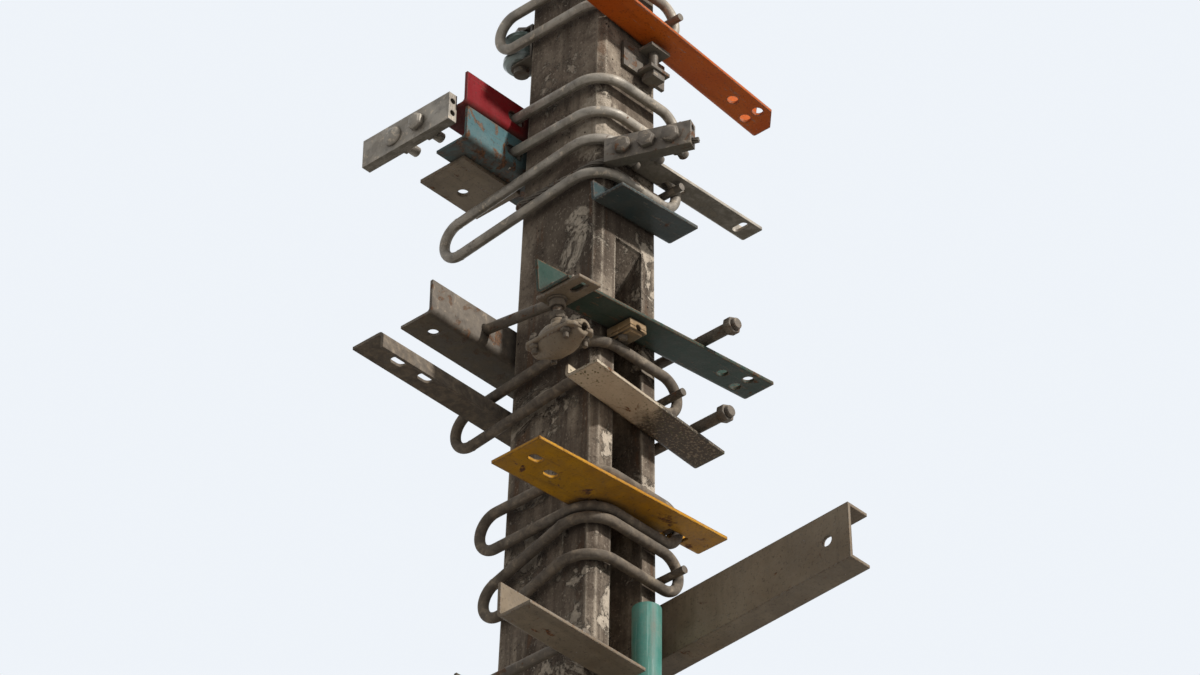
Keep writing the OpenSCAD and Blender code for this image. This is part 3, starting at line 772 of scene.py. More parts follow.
@dataclass(frozen=True)
class PlasticPipe:
    """Plastic pipe, faded by the sun, with scuffs, streaks and dust.

    Attributes:
        slot: the record's slot.
        body: its colour.
        faded: colour where it has faded.
        scuffed: colour of the scuffs.
        streaked: colour of the streaks.
        dusty: colour of the dust.
        grime_and_shade: colour of the dirt and painted shade in its corners.
        clouds: pattern of the fading.
        streaks: pattern of the streaks.
        scuffs: pattern of the scuffs.
        fine: its finest pattern.
    """

    slot: Slot = Slot.PIPE
    body: Colour = (0.044, 0.190, 0.148)
    faded: Colour = (0.080, 0.262, 0.208)
    scuffed: Colour = (0.30, 0.46, 0.40)
    streaked: Colour = (0.115, 0.105, 0.074)
    dusty: Colour = (0.33, 0.29, 0.23)
    grime_and_shade: Colour = (0.06, 0.055, 0.04)
    clouds: Grain = Grain(12.0, 6.0, 0.6)
    streaks: Grain = Grain(70.0, 7.0, 0.64, 0.3, (1.0, 1.0, 0.07))
    scuffs: Grain = Grain(260.0, 5.0, 0.6, 0.0, (1.0, 1.0, 0.03))
    fine: Grain = Grain(300.0, 4.0, 0.6)

    def build(self, palette: Palette) -> None:
        """Make the material.

        Args:
            palette: where it is kept.
        """
        look, effects = palette.start(self.slot), palette.effects
        net, step = look.net, look.net.step
        clouds, fine = map(look.noise, (self.clouds, self.fine))
        streaks, scuffs = map(look.noise, (self.streaks, self.scuffs))
        look.colour = net.mix(step(clouds, 0.3, 0.7), self.body, self.faded)
        look.tint(step(scuffs, 0.58, 0.68, 0.0, 0.45), self.scuffed)
        look.tint(step(streaks, 0.50, 0.68, 0.0, 0.60), self.streaked)
        dust = look.effect(effects.dust, Amount=0.8)["Mask"]
        look.tint(dust, self.dusty)
        # Dirt and painted shade in the corners.
        look.tint(look.effect(effects.grime_and_shade, Reach=0.02)["Mask"], self.grime_and_shade, 0.6)
        normal = look.bump(net.minus(fine, net.times(scuffs, 0.6)), 0.0003)
        look.finish({"Roughness": step(net.plus(dust, net.times(fine, 0.3)), 0.0, 1.0, 0.48, 0.88),
                     "Specular IOR Level": 0.25, "Normal": normal})


FINISHES = (
    Concrete(),
    BareSteel(Slot.ZINC, (0.38, 0.335, 0.275), (0.45, 0.365, 0.265), dust=0.90, rust=0.22, sheen=0.28,
              lower_shade=0.84),
    BareSteel(Slot.RUSTY, (0.165, 0.140, 0.112), (0.27, 0.215, 0.155), dust=0.85, rust=0.42, sheen=0.25,
              lower_shade=0.40),
    BareSteel(Slot.BRASS, (0.27, 0.165, 0.070), (0.33, 0.25, 0.165), dust=0.95, rust=0.34, sheen=0.30),
    Paint(Slot.ORANGE, (0.48, 0.080, 0.004), (0.56, 0.120, 0.010), chips=0.22, rust=0.14, dust=0.10,
          under=0.05),
    Paint(Slot.RED, (0.185, 0.003, 0.006), (0.235, 0.008, 0.012), chips=0.34, rust=0.20, dust=0.12,
          bare=(0.13, 0.08, 0.06), under=0.40),
    Paint(Slot.TEAL, (0.060, 0.130, 0.138), (0.096, 0.180, 0.184), chips=0.62, rust=0.46, dust=0.40,
          bare=(0.16, 0.11, 0.075), under=0.90),
    Paint(Slot.DARK_TEAL, (0.022, 0.046, 0.048), (0.040, 0.066, 0.066), chips=0.30, rust=0.28, dust=0.30,
          under=0.45),
    Paint(Slot.GREEN, (0.012, 0.042, 0.027), (0.028, 0.058, 0.043), chips=0.32, rust=0.26, dust=0.20,
          bare=(0.27, 0.13, 0.065), under=0.35),
    Paint(Slot.CREAM, (0.54, 0.43, 0.30), (0.62, 0.52, 0.38), chips=0.40, rust=0.34, dust=0.30, moss=0.95,
          bare=(0.24, 0.18, 0.12), far_end_darkening=0.93, under=0.08),
    Paint(Slot.YELLOW, (0.50, 0.215, 0.004), (0.60, 0.290, 0.010), chips=0.42, rust=0.36, dust=0.30,
          bare=(0.20, 0.11, 0.05)),
    Paint(Slot.BEIGE, (0.195, 0.143, 0.090), (0.30, 0.232, 0.155), chips=0.30, rust=0.30, dust=0.60),
    Glaze(),
    PlasticPipe(),
)


# Modelling bench

# How many sides a round outline has.
ROUND = 24
# Lengths of the kinds that others are placed by, in metres.
LENGTH = {
    Kind.WASHER16: 3 * MM,
    Kind.PLATE16: 5 * MM,
    Kind.THREAD16: 26 * MM,
    Kind.LONG16: 74 * MM,
    Kind.STUD16: 52 * MM,
    Kind.WASHER14: 2.5 * MM,
}


def clear_selection() -> None:
    """Leave nothing selected, so that an operator acts only on what comes next."""
    for obj in bpy.context.selected_objects:
        obj.select_set(False)
    bpy.context.view_layer.objects.active = None


def take(obj: Piece) -> None:
    """Make one object the only selected and the active one.

    Args:
        obj: the object.
    """
    clear_selection()
    obj.select_set(True)
    bpy.context.view_layer.objects.active = obj


@contextmanager
def editing(obj: Piece) -> Iterator[None]:
    """Hold an object in edit mode, with its whole mesh selected at first.

    Args:
        obj: the mesh's object.

    Yields:
        None, while it is in edit mode.
    """
    take(obj)
    bpy.ops.object.mode_set(mode="EDIT")
    bpy.ops.mesh.select_all(action="SELECT")
    yield
    bpy.ops.object.mode_set(mode="OBJECT")


@contextmanager
def picked(obj: Piece, what: Pick, test: Callable[[bpy.types.AnyType], bool]) -> Iterator[None]:
    """Hold an object in edit mode with only what passes a test selected.

    Args:
        obj: the mesh's object.
        what: whether vertices or faces are picked.
        test: takes a vertex or a face and says whether it is picked.

    Yields:
        None, while it is in edit mode.
    """
    take(obj)
    bpy.ops.object.mode_set(mode="EDIT")
    bpy.context.tool_settings.mesh_select_mode = what.value
    bpy.ops.mesh.select_all(action="DESELECT")
    bpy.ops.object.mode_set(mode="OBJECT")
    for item in obj.data.vertices if what is Pick.VERTS else obj.data.polygons:
        item.select = test(item)
    bpy.ops.object.mode_set(mode="EDIT")
    yield
    bpy.ops.object.mode_set(mode="OBJECT")


def draw_out(lift: float, size: float = 1.0) -> None:
    """Extrude what is selected in edit mode along Z and resize its end.

    Args:
        lift: how far it goes, in metres.
        size: how much wider the end gets.
    """
    bpy.ops.mesh.extrude_region_move(TRANSFORM_OT_translate={"value": (0, 0, lift)})
    if size != 1.0:
        bpy.ops.transform.resize(value=(size, size, 1), center_override=(0, 0, 0))


def face_outwards() -> None:
    """Turn the normals of the mesh in edit mode outwards."""
    bpy.ops.mesh.select_all(action="SELECT")
    bpy.ops.mesh.normals_make_consistent(inside=False)


def cut_across(at: Point, normal: Point, fill: bool = False, drop_under: bool = False,
               drop_over: bool = False) -> None:
    """Cut the mesh in edit mode by a plane.

    Args:
        at: a point of the plane.
        normal: its direction.
        fill: whether the cut is closed with a face.
        drop_under: whether what lies behind the plane goes.
        drop_over: whether what lies in front of it goes.
    """
    bpy.ops.mesh.select_all(action="SELECT")
    bpy.ops.mesh.bisect(plane_co=at, plane_no=normal, use_fill=fill, clear_inner=drop_under,
                        clear_outer=drop_over)


def finish_modifier(obj: Piece, kind: str, **values: object) -> None:
    """Add a modifier and apply it.

    Args:
        obj: the mesh's object.
        kind: the modifier's type.
        **values: its own properties.
    """
    take(obj)
    modifier = obj.modifiers.new(kind.lower(), kind)
    for key, value in values.items():
        setattr(modifier, key, value)
    bpy.ops.object.modifier_apply(modifier=modifier.name)


def hollow(obj: Piece, cutter: Piece) -> None:
    """Take one mesh away from another and remove it."""
    finish_modifier(obj, "BOOLEAN", operation="DIFFERENCE", solver="EXACT", object=cutter)
    bpy.data.objects.remove(cutter, do_unlink=True)


def rounded(obj: Piece, width: float, segments: int = 2, angle: float = 30.0) -> None:
    """Round the edges of a mesh that turn by more than an angle in degrees."""
    finish_modifier(obj, "BEVEL", width=width, segments=segments, limit_method="ANGLE",
                    angle_limit=math.radians(angle))


def block(size: Point, at: Point) -> Piece:
    """Start from a cube.

    Args:
        size: its size, in metres.
        at: its middle.

    Returns:
        The new object.
    """
    clear_selection()
    bpy.ops.mesh.primitive_cube_add(size=1.0, location=at, scale=size)
    bpy.ops.object.transform_apply(location=True, rotation=True, scale=True)
    return bpy.context.active_object


def rod(radius: float, length: float, at: Point, along: Axis = Axis.Z, sides: int = ROUND) -> Piece:
    """Start from a cylinder.

    Args:
        radius: its radius over the corners, in metres.
        length: its length.
        at: its middle.
        along: the axis that it lies along.
        sides: how many sides it has.

    Returns:
        The new object.
    """
    clear_selection()
    bpy.ops.mesh.primitive_cylinder_add(vertices=sides, radius=radius, depth=length, location=at,
                                        rotation=along.value)
    bpy.ops.object.transform_apply(location=True, rotation=True, scale=True)
    return bpy.context.active_object


def disc(sides: int, radius: float, fill: str = "NGON") -> Piece:
    """Start from a flat disc or, with nothing in it, a ring.

    Args:
        sides: how many sides it has.
        radius: its radius over the corners, in metres.
        fill: what lies in it, in the operator's own word.

    Returns:
        The new object.
    """
    clear_selection()
    bpy.ops.mesh.primitive_circle_add(vertices=sides, radius=radius, fill_type=fill)
    return bpy.context.active_object


def over_corners(sides: int, across: float) -> float:
    """Return the radius over the corners of a shape from its width over the flats."""
    return across / 2 / math.cos(math.pi / sides)


def nut_blank(sides: int, across: float, bore: float, height: float, chamfer: float) -> Piece:
    """Model a nut or a washer: an outline with a round hole, drawn up and chamfered.

    Args:
        sides: 4 for a square, 6 for a hexagon, ROUND for a round washer.
        across: width over the flats.
        bore: diameter of the hole.
        height: its height, upwards from the origin.
        chamfer: width of the chamfer.

    Returns:
        The new object.
    """
    obj = disc(sides, over_corners(sides, across), "NOTHING")
    with editing(obj):
        if sides < ROUND:
            bpy.ops.mesh.subdivide(number_cuts=ROUND // sides - 1)
        bpy.ops.mesh.primitive_circle_add(vertices=ROUND, radius=bore / 2)
        bpy.ops.mesh.select_all(action="SELECT")
        bpy.ops.mesh.bridge_edge_loops()
        bpy.ops.mesh.select_all(action="SELECT")
        draw_out(height)
        face_outwards()
    rounded(obj, chamfer, angle=50)
    return obj


def head_blank(across: float, height: float) -> Piece:
    """Model a bolt's hexagonal head with a raised, chamfered top.

    Args:
        across: width over the flats.
        height: its height, upwards from the origin.

    Returns:
        The new object.
    """
    obj = rod(over_corners(6, across), 0.8 * height, (0, 0, 0.4 * height), sides=6)
    with picked(obj, Pick.FACES, lambda face: face.normal.z > 0.9):
        bpy.ops.mesh.inset(thickness=0.09 * across)
        draw_out(0.2 * height, 0.94)
    rounded(obj, 0.05 * across, angle=35)
    return obj


def dome_blank(across: float, height: float) -> Piece:
    """Model the round head of a carriage bolt.

    Args:
        across: its diameter.
        height: its height, upwards from the origin.

    Returns:
        The new object.
    """
    obj = disc(28, across / 2)
    with editing(obj):
        draw_out(0.15 * height)
        for step in range(5):
            low, high = math.radians(15 * step), math.radians(15 * (step + 1))
            draw_out(0.85 * height * (math.sin(high) - math.sin(low)), math.cos(high) / math.cos(low))
        face_outwards()
    return obj


def thread_blank(root: float, crest: float, pitch: float, length: float) -> Piece:
    """Model the threaded end of a bar, with a chamfered tip.

    Args:
        root: radius between the ridges.
        crest: radius of the ridges.
        pitch: distance from ridge to ridge.
        length: its length, upwards from the origin.

    Returns:
        The new object.
    """
    obj = disc(20, root)
    with editing(obj):
        for step in range(2 * int(length / pitch) - 1):
            draw_out(pitch / 2, crest / root if step % 2 == 0 else root / crest)
        draw_out(pitch / 2, 0.8)
        face_outwards()
    return obj


@dataclass
class Hardware:
    """One of each kind of small part, modelled once and copied from there."""

    kinds: dict[Kind, Piece] = field(default_factory=dict)

    def model(self) -> None:
        """Model each kind at the origin, pointing up."""
        self.kinds = {
            Kind.NUT16: nut_blank(6, 24 * MM, 17.2 * MM, 13 * MM, 1.3 * MM),
            Kind.WASHER16: nut_blank(ROUND, 32 * MM, 17 * MM, LENGTH[Kind.WASHER16], 0.5 * MM),
            Kind.PLATE16: nut_blank(4, 42 * MM, 17.4 * MM, LENGTH[Kind.PLATE16], 0.7 * MM),
            Kind.THREAD16: thread_blank(8.1 * MM, 8.8 * MM, 2 * MM, LENGTH[Kind.THREAD16]),
            Kind.NUT14: nut_blank(6, 22 * MM, 14.6 * MM, 11 * MM, 1.1 * MM),
            Kind.WASHER14: nut_blank(ROUND, 29 * MM, 14.6 * MM, LENGTH[Kind.WASHER14], 0.4 * MM),
            Kind.STEM14: thread_blank(6.6 * MM, 7.2 * MM, 2 * MM, 66 * MM),
            Kind.LONG16: thread_blank(8.1 * MM, 8.8 * MM, 2 * MM, LENGTH[Kind.LONG16]),
            Kind.STUD16: thread_blank(7.6 * MM, 8.2 * MM, 2 * MM, LENGTH[Kind.STUD16]),
            Kind.HEAD16: head_blank(25 * MM, 11 * MM),
            Kind.DOME16: dome_blank(32 * MM, 9 * MM),
            Kind.NUT8: nut_blank(6, 13 * MM, 8.6 * MM, 6.5 * MM, 0.7 * MM),
            Kind.STUD8: thread_blank(3.8 * MM, 4.2 * MM, 1.25 * MM, 34 * MM),
            Kind.HEAD8: head_blank(13 * MM, 6 * MM),
        }

    def copy(self, kind: Kind, at: Vector, way: Vector, turn: float = 0.0) -> Piece:
        """Copy one kind to its place.

        Args:
            kind: the kind of the part.
            at: where its origin goes.
            way: the direction that it points in.
            turn: its turn round that direction, in degrees.

        Returns:
            The copy, with its place in its own mesh.
        """
        obj = self.kinds[kind].copy()
        obj.data = obj.data.copy()
        bpy.context.collection.objects.link(obj)
        spin = Matrix.Rotation(math.radians(turn), 4, "Z")
        facing = Vector(way).to_track_quat("Z", "Y").to_matrix().to_4x4()
        obj.data.transform(Matrix.Translation(at) @ facing @ spin)
        return obj

    def clear(self) -> None:
        """Remove the first ones, once all copies are made."""
        for obj in self.kinds.values():
            bpy.data.objects.remove(obj, do_unlink=True)
        self.kinds.clear()


def join(name: str, parts: Sequence[Piece]) -> Piece:
    """Join meshes to one piece.

    Args:
        name: the piece's name.
        parts: the meshes.

    Returns:
        The piece.
    """
    clear_selection()
    for obj in parts:
        obj.select_set(True)
    bpy.context.view_layer.objects.active = parts[0]
    if len(parts) > 1:
        bpy.ops.object.join()
    piece = bpy.context.view_layer.objects.active
    piece.name = name
    piece.data.name = name
    return piece


def dress(piece: Piece, palette: Palette, slot: Slot, replaces: str | None = None) -> None:
    """Give a piece its finish, hang it under the root and hide the solid that it replaces.

    Args:
        piece: the finished mesh.
        palette: the materials.
        slot: the slot of its finish.
        replaces: the node that it stands for, if any.
    """
    piece.data.materials.clear()
    piece.data.materials.append(palette.made[slot])
    take(piece)
    bpy.ops.object.shade_smooth_by_angle(angle=math.radians(35))
    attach(piece, "root")
    if replaces:
        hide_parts(replaces)
    LOG.info("%s: %d faces", piece.name, len(piece.data.polygons))


# The pole's own sizes


@dataclass(frozen=True)
class PoleShape:
    """The taper of the pole and the sizes of its links and arms, in millimetres.

    Attributes:
        height: height above the ground.
        top_w: width of the plain face at the top.
        top_d: width of the recessed face at the top.
        foot_w: width of the plain face at the ground.
        foot_d: width of the recessed face at the ground.
        corner_cut: width of the cut at each corner.
        rod_d: diameter of a link's bar.
        rod_bend: radius of a link's bend, to the middle of the bar.
        gauge: distance between a link's two legs.
        seat: clearance under what is seated.
        plate_t: thickness of the arms' plate.
        arm_h: height of an arm.
    """

    height: float = 7500.0
    top_w: float = 140.0
    top_d: float = 110.0
    foot_w: float = 350.0
    foot_d: float = 260.0
    corner_cut: float = 10.0
    rod_d: float = 16.0
    rod_bend: float = 45.0
    gauge: float = 62.0
    seat: float = 0.3
    plate_t: float = 5.0
    arm_h: float = 58.0

    def _half(self, top: float, foot: float, z: float) -> float:
        """Return half of a width at a height, from that at the top and that at the foot."""
        return (top + (foot - top) * (self.height - z) / self.height) / 2

    def half_w(self, z: float) -> float:
        """Return half the width of the plain face at a height."""
        return self._half(self.top_w, self.foot_w, z)

    def half_d(self, z: float) -> float:
        """Return half the width of the recessed face at a height."""
        return self._half(self.top_d, self.foot_d, z)

    def plate_x(self, z: float) -> float:
        """Return where the outer face of a seated plate lies at a height."""
        return self.half_w(z) + self.seat + self.plate_t

    def leg_y(self, z: float) -> float:
        """Say where the front legs of a link run.

        Args:
            z: the link's level, in millimetres.

        Returns:
            Their Y.
        """
        inner = self.rod_bend - self.rod_d / 2 - self.seat
        centre = math.sqrt((inner ** 2 - self.corner_cut ** 2 / 2) / 2)
        return -(self.half_d(z) - self.corner_cut / 2 - centre) - self.rod_bend


POLE = PoleShape()


def metres(x: float, y: float, z: float) -> Vector:
    """Return a point given in millimetres as metres."""
    return Vector((x, y, z)) * MM


@dataclass(frozen=True)
class ArmSeat:
    """Where an arm bears on the pole: its level, its lean and its side.

    Attributes:
        level: height of the arm's underside at the pole's middle, in millimetres.
        lean: its slope along Y, in degrees.
        side: 1 on the right face, -1 on the left face.
    """

    level: float
    lean: float = 0.0
    side: int = 1

    def point(self, x: float, y: float, h: float) -> Vector:
        """Return a point of the arm's own frame.

        Args:
            x: its distance from the pole's face, in millimetres.
            y: its place along the arm.
            h: its height over the arm's underside.

        Returns:
            The point, in metres.
        """
        c, s = math.cos(math.radians(self.lean)), math.sin(math.radians(self.lean))
        out = POLE.half_w(self.level) + POLE.seat + x
        return metres(self.side * out, y * c - h * s, self.level + y * s + h * c)

    def place(self, x: float, y: float) -> Matrix:
        """Return the place of a frame that leans with the arm, from a point of its underside."""
        return Matrix.Translation(self.point(x, y, 0)) @ Matrix.Rotation(math.radians(self.lean), 4, "X")

    def up(self) -> Vector:
        """Return the direction across the arm's flat leg."""
        angle = math.radians(self.lean)
        return Vector((0, -math.sin(angle), math.cos(angle)))

    def plate_x(self) -> float:
        """Return where the outer face of its plate lies, in millimetres."""
        return self.side * POLE.plate_x(self.level)


GREEN_ARM = ArmSeat(6396.0, 6.0)


@dataclass
class Bolted:
    """Nuts, washers and threads on bars and bolts, one piece for each group.

    Attributes:
        hardware: the kinds that are copied.
        palette: the materials.
        head_reach: how far a bolt's thread reaches into its head, in metres.
    """

    hardware: Hardware
    palette: Palette
    head_reach: float = 1 * MM

    def nut(self, washer: Kind, nut: Kind, at: Vector, way: Vector,
            turns: tuple[float, float]) -> list[Piece]:
        """Put a washer with a nut on it.

        Args:
            washer: the washer's kind.
            nut: the nut's kind.
            at: where the washer lies.
            way: the direction that both face.
            turns: the washer's turn and the nut's, in degrees.

        Returns:
            The copies.
        """
        return [self.hardware.copy(washer, at, way, turns[0]),
                self.hardware.copy(nut, at + way * LENGTH[washer], way, turns[1])]

    def bar_end(self, at: Vector, way: Vector, turn: float, square: bool, thread: float) -> list[Piece]:
        """Put a washer, a nut and a thread on the end of a 16 mm bar.

        Args:
            at: where the bar leaves the plate.
            way: its direction there.
            turn: the nut's turn, in degrees.
            square: whether a square plate washer lies under the nut.
            thread: distance of the bar's tip from the plate, in metres.

        Returns:
            The copies.
        """
        under = Kind.PLATE16 if square else Kind.WASHER16
        tip = at + way * (thread - LENGTH[Kind.THREAD16])
        return [*self.nut(under, Kind.NUT16, at, way, (turn / 3, turn)),
                self.hardware.copy(Kind.THREAD16, tip, way)]

    def plate_bolt(self, at: Vector, way: Vector, grip: float, turn: float, head: Kind) -> list[Piece]:
        """Put a 16 mm bolt through two plates, its head where it is seen.

        Args:
            at: the middle of the hole at the head's side.
            way: the direction that the head's side faces.
            grip: thickness of what it holds.
            turn: the head's turn, in degrees.
            head: the kind of its head.

        Returns:
            The copies.
        """
        start = at - way * (LENGTH[Kind.STUD16] - self.head_reach)
        return [self.hardware.copy(head, at, way, turn),
                *self.nut(Kind.WASHER16, Kind.NUT16, at - way * grip, -way, (turn, 0.6 * turn)),
                self.hardware.copy(Kind.STUD16, start, way)]

    def finish(self, name: str, parts: Sequence[Piece], slot: Slot) -> None:
        """Join the parts of one group and dress them."""
        dress(join(name, parts), self.palette, slot)


@dataclass(frozen=True)
class Bar:
    """One bar that ties two arms, in millimetres.

    Attributes:
        y: its Y.
        low: its height at the left plate.
        high: its height at the right plate.
        out: how far its right end stands out of the plate.
    """

    y: float
    low: float
    high: float
    out: float = 30.0


@dataclass(frozen=True)
class TieRods:
    """Nuts on the bars that hold two arms against each other.

    Attributes:
        name: name of the piece.
        left: seat of the arm or plate on the left.
        right: seat of the arm on the right.
        bars: the bars.
        thread_out: how far a short end stands out of its plate, in millimetres.
        far_nut: distance of a long end's second nut from its tip.
    """

    name: str
    left: ArmSeat
    right: ArmSeat
    bars: tuple[Bar, ...]
    thread_out: float = 30.0
    far_nut: float = 19.0

    def build(self, bolted: Bolted) -> None:
        """Model the nuts.

        Args:
            bolted: makes the copies.
        """
        left, right = self.left.plate_x(), self.right.plate_x()
        copy, thread = bolted.hardware.copy, self.thread_out * MM
        parts = []
        for i, bar in enumerate(self.bars):
            low, high = metres(left, bar.y, bar.low), metres(right, bar.y, bar.high)
            way = Vector((1, 0, (bar.high - bar.low) / (right - left))).normalized()
            parts += bolted.bar_end(low, -way, 17 + 23 * i, i % 2 == 0, thread)
            parts += bolted.bar_end(high, way, 41 + 31 * i, i % 2 == 1, thread)
            if bar.out > self.thread_out:
                tip = high + way * bar.out * MM
                parts += [copy(Kind.LONG16, tip - way * LENGTH[Kind.LONG16], way),
                          copy(Kind.NUT16, tip - way * self.far_nut * MM, way, 52 + 9 * i)]
        bolted.finish(self.name, parts, Slot.RUSTY)


@dataclass(frozen=True)
class GuyLine:
    """The run of the guy strand round the pole and through its clamp, in millimetres.

    Attributes:
        mid_z: height of the clamp's middle.
        lead: distance from the pole to the clamp.
        length: length of the clamp.
        plate: thickness of each of its plates.
        turn: how far the strand turns at the near corner, in degrees.
        strand_d: diameter of the strand.
        bend: radius of its bends, to its middle.
        groove: distance of its upper run under the clamp's middle.
    """

    mid_z: float = 6698.0
    lead: float = 20.0
    length: float = 135.0
    plate: float = 9.0
    turn: float = 21.6
    strand_d: float = 9.5
    bend: float = 16.0
    groove: float = 12.0

    def centre(self) -> tuple[float, float]:
        """Return X and Y of the middle of its bend at the pole's far right corner."""
        low = self.mid_z - self.groove - self.strand_d
        out = POLE.seat + self.strand_d / 2 - self.bend
        return POLE.half_w(low) + out, POLE.half_d(low) + out

    def kink(self) -> Vector:
        """Return where the strand's straight end would leave the pole, at height 0."""
        x, y = self.centre()
        return Vector((x + self.bend * math.tan(math.radians(self.turn / 2)), -y - self.bend, 0))

    def ways(self) -> tuple[Vector, Vector]:
        """Return the direction along the clamp and the one out of its front plate."""
        c, s = math.cos(math.radians(self.turn)), math.sin(math.radians(self.turn))
        return Vector((c, s, 0)), Vector((s, -c, 0))


@dataclass(frozen=True)
class GuyClampBolts:
    """Three bolts through the grooved plates of the guy clamp.

    Attributes:
        line: the strand's run.
        pitch: distance between two bolts, in the clamp's length.
    """

    line: GuyLine = GuyLine()
    pitch: float = 0.28

    def build(self, bolted: Bolted) -> None:
        """Model the bolts.

        Args:
            bolted: makes the copies.
        """
        line = self.line
        along, out = line.ways()
        front = line.kink() * MM + UP * line.mid_z * MM + out * (line.plate + POLE.seat / 2) * MM
        grip = (2 * line.plate + POLE.seat) * MM
        parts = []
        for i in range(3):
            run = line.lead + line.length / 2 + (i - 1) * self.pitch * line.length
            parts += bolted.plate_bolt(front + along * run * MM, out, grip, 12 + 27 * i, Kind.HEAD16)
        bolted.finish("guy_clamp_bolts", parts, Slot.RUSTY)


@dataclass(frozen=True)
class TwistedStrand:
    """The guy strand as seven laid wires, once round the pole and out through the clamp.

    Attributes:
        line: the strand's run.
        lay: length of one turn of the wires, in millimetres.
        step: distance between two points of the run.
        slack: a wire's thickness, in the room that it has.
    """

    line: GuyLine = GuyLine()
    lay: float = 110.0
    step: float = 3.5
    slack: float = 0.98

    def bend(self, x: float, y: float, start: float, sweep: float) -> list[Vector]:
        """Return points round one corner of the pole.

        Args:
            x: X of the bend's middle, in millimetres.
            y: its Y.
            start: the angle that it begins at, in degrees.
            sweep: the angle that it turns by.

        Returns:
            The points, at height 0.
        """
        radius = self.line.bend
        count = max(2, round(math.radians(sweep) * radius / self.step))
        angles = [math.radians(start + sweep * i / count) for i in range(count + 1)]
        return [Vector((x + radius * math.cos(a), y + radius * math.sin(a), 0)) for a in angles]

    def route(self) -> list[Vector]:
        """Follow the strand round the pole and through the clamp.

        Returns:
            Points along its middle, in millimetres.
        """
        line = self.line
        x, y = line.centre()
        far = line.lead + line.length + line.strand_d
        corners = [Vector((x + line.bend, line.strand_d - y, 0)), *self.bend(x, y, 0, 90),
                   *self.bend(-x, y, 90, 90), *self.bend(-x, -y, 180, 90),
                   *self.bend(x, -y, 270, line.turn), line.kink() + line.ways()[0] * far]
        points = [corner + UP * (line.mid_z - line.groove) for corner in corners]
        fine = [points[0]]
        for p, q in zip(points, points[1:]):
            parts = max(1, round((q - p).length / self.step))
            fine += [p.lerp(q, (i + 1) / parts) for i in range(parts) if (q - p).length > 1e-6]
        return fine

    def wire(self, route: list[Vector], place: int) -> Piece:
        """Lay one wire along the strand.

        Args:
            route: points along the strand's middle, in millimetres.
            place: 0 to 5 for a wire round the middle, 6 for the one in it.

        Returns:
            The wire's mesh.
        """
        radius = self.line.strand_d / 6
        curve = bpy.data.curves.new("wire", "CURVE")
        curve.dimensions = "3D"
        curve.bevel_depth = radius * MM * self.slack
        curve.bevel_resolution = 1
        curve.use_fill_caps = True
        spline = curve.splines.new("POLY")
        spline.points.add(len(route) - 1)
        run = 0.0
        for i, point in enumerate(route):
            ahead = route[min(i + 1, len(route) - 1)] - route[max(i - 1, 0)]
            side = UP.cross(ahead.normalized())
            run += (point - route[i - 1]).length if i else 0.0
            angle = 2 * math.pi * (run / self.lay + place / 6)
            off = (side * math.cos(angle) + UP * math.sin(angle)) * (2 * radius if place < 6 else 0.0)
            spline.points[i].co = (*((point + off) * MM), 1.0)
        obj = bpy.data.objects.new("wire", curve)
        bpy.context.collection.objects.link(obj)
        take(obj)
        bpy.ops.object.convert(target="MESH")
        return bpy.context.active_object

    def build(self, bolted: Bolted) -> None:
        """Lay the wires and join them.

        Args:
            bolted: gives the materials.
        """
        route = self.route()
        strand = join("laid_guy_strand", [self.wire(route, place) for place in range(7)])
        with editing(strand):
            bpy.ops.mesh.remove_doubles(threshold=0.00001)
            face_outwards()
        dress(strand, bolted.palette, Slot.RUSTY, "guy_strand")


@dataclass(frozen=True)
class UpperLinkNuts:
    """Plate washers and nuts on the two threaded ends of the upper link.

    Attributes:
        level: height of the lower end, in millimetres.
        thread_out: how far the ends stand out of a plate at that height.
    """

    level: float = 6782.0
    thread_out: float = 30.0

    def build(self, bolted: Bolted) -> None:
        """Model them.

        Args:
            bolted: makes the copies.
        """
        end = POLE.half_w(self.level) + POLE.plate_t + self.thread_out
        parts = []
        for i, level in enumerate((self.level, self.level + POLE.gauge)):
            face = POLE.plate_x(level - POLE.arm_h / 2)
            parts += bolted.bar_end(metres(-face, POLE.leg_y(self.level), level), Vector((-1, 0, 0)),
                                    20 + 33 * i, True, (end - face) * MM)
        bolted.finish("upper_link_nuts", parts, Slot.ZINC)


@dataclass(frozen=True)
class StrandClampBolts:
    """Two bolts through the strand clamp's plates.

    Attributes:
        bolts: for each bolt, its place along the clamp in millimetres, its turn and its head.
    """

    bolts: tuple[tuple[float, float, Kind], ...] = ((-25.5, 15.0, Kind.DOME16),
                                                    (25.5, 55.0, Kind.HEAD16))

    def build(self, bolted: Bolted) -> None:
        """Model them.

        Args:
            bolted: makes the copies.
        """
        low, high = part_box("strand_clamp")
        front = Vector(((low[0] + high[0]) / 2, low[1], (low[2] + high[2]) / 2))
        parts = []
        for run, turn, head in self.bolts:
            parts += bolted.plate_bolt(front + metres(run, 0, 0), Vector((0, -1, 0)), high[1] - low[1],
                                       turn, head)
        bolted.finish("strand_clamp_bolts", parts, Slot.ZINC)


@dataclass(frozen=True)
class StemNuts:
    """A nut above the green arm and one below the slotted plate, on the suspension clamp's stem.

    Attributes:
        at: place of the stem in the arm's frame, in millimetres.
        above: height of the arm's upper face over its underside.
        below: height of the plate's lower face.
    """

    at: tuple[float, float] = (16.0, -165.0)
    above: float = 5.0
    below: float = -5.3

    def build(self, bolted: Bolted) -> None:
        """Model them.

        Args:
            bolted: makes the copies.
        """
        parts = []
        for height, way, turn in ((self.above, GREEN_ARM.up(), 11), (self.below, -GREEN_ARM.up(), 34)):
            at = GREEN_ARM.point(*self.at, height)
            parts += bolted.nut(Kind.WASHER14, Kind.NUT14, at, way, (0, turn))
        bolted.finish("suspension_clamp_nuts", parts, Slot.ZINC)


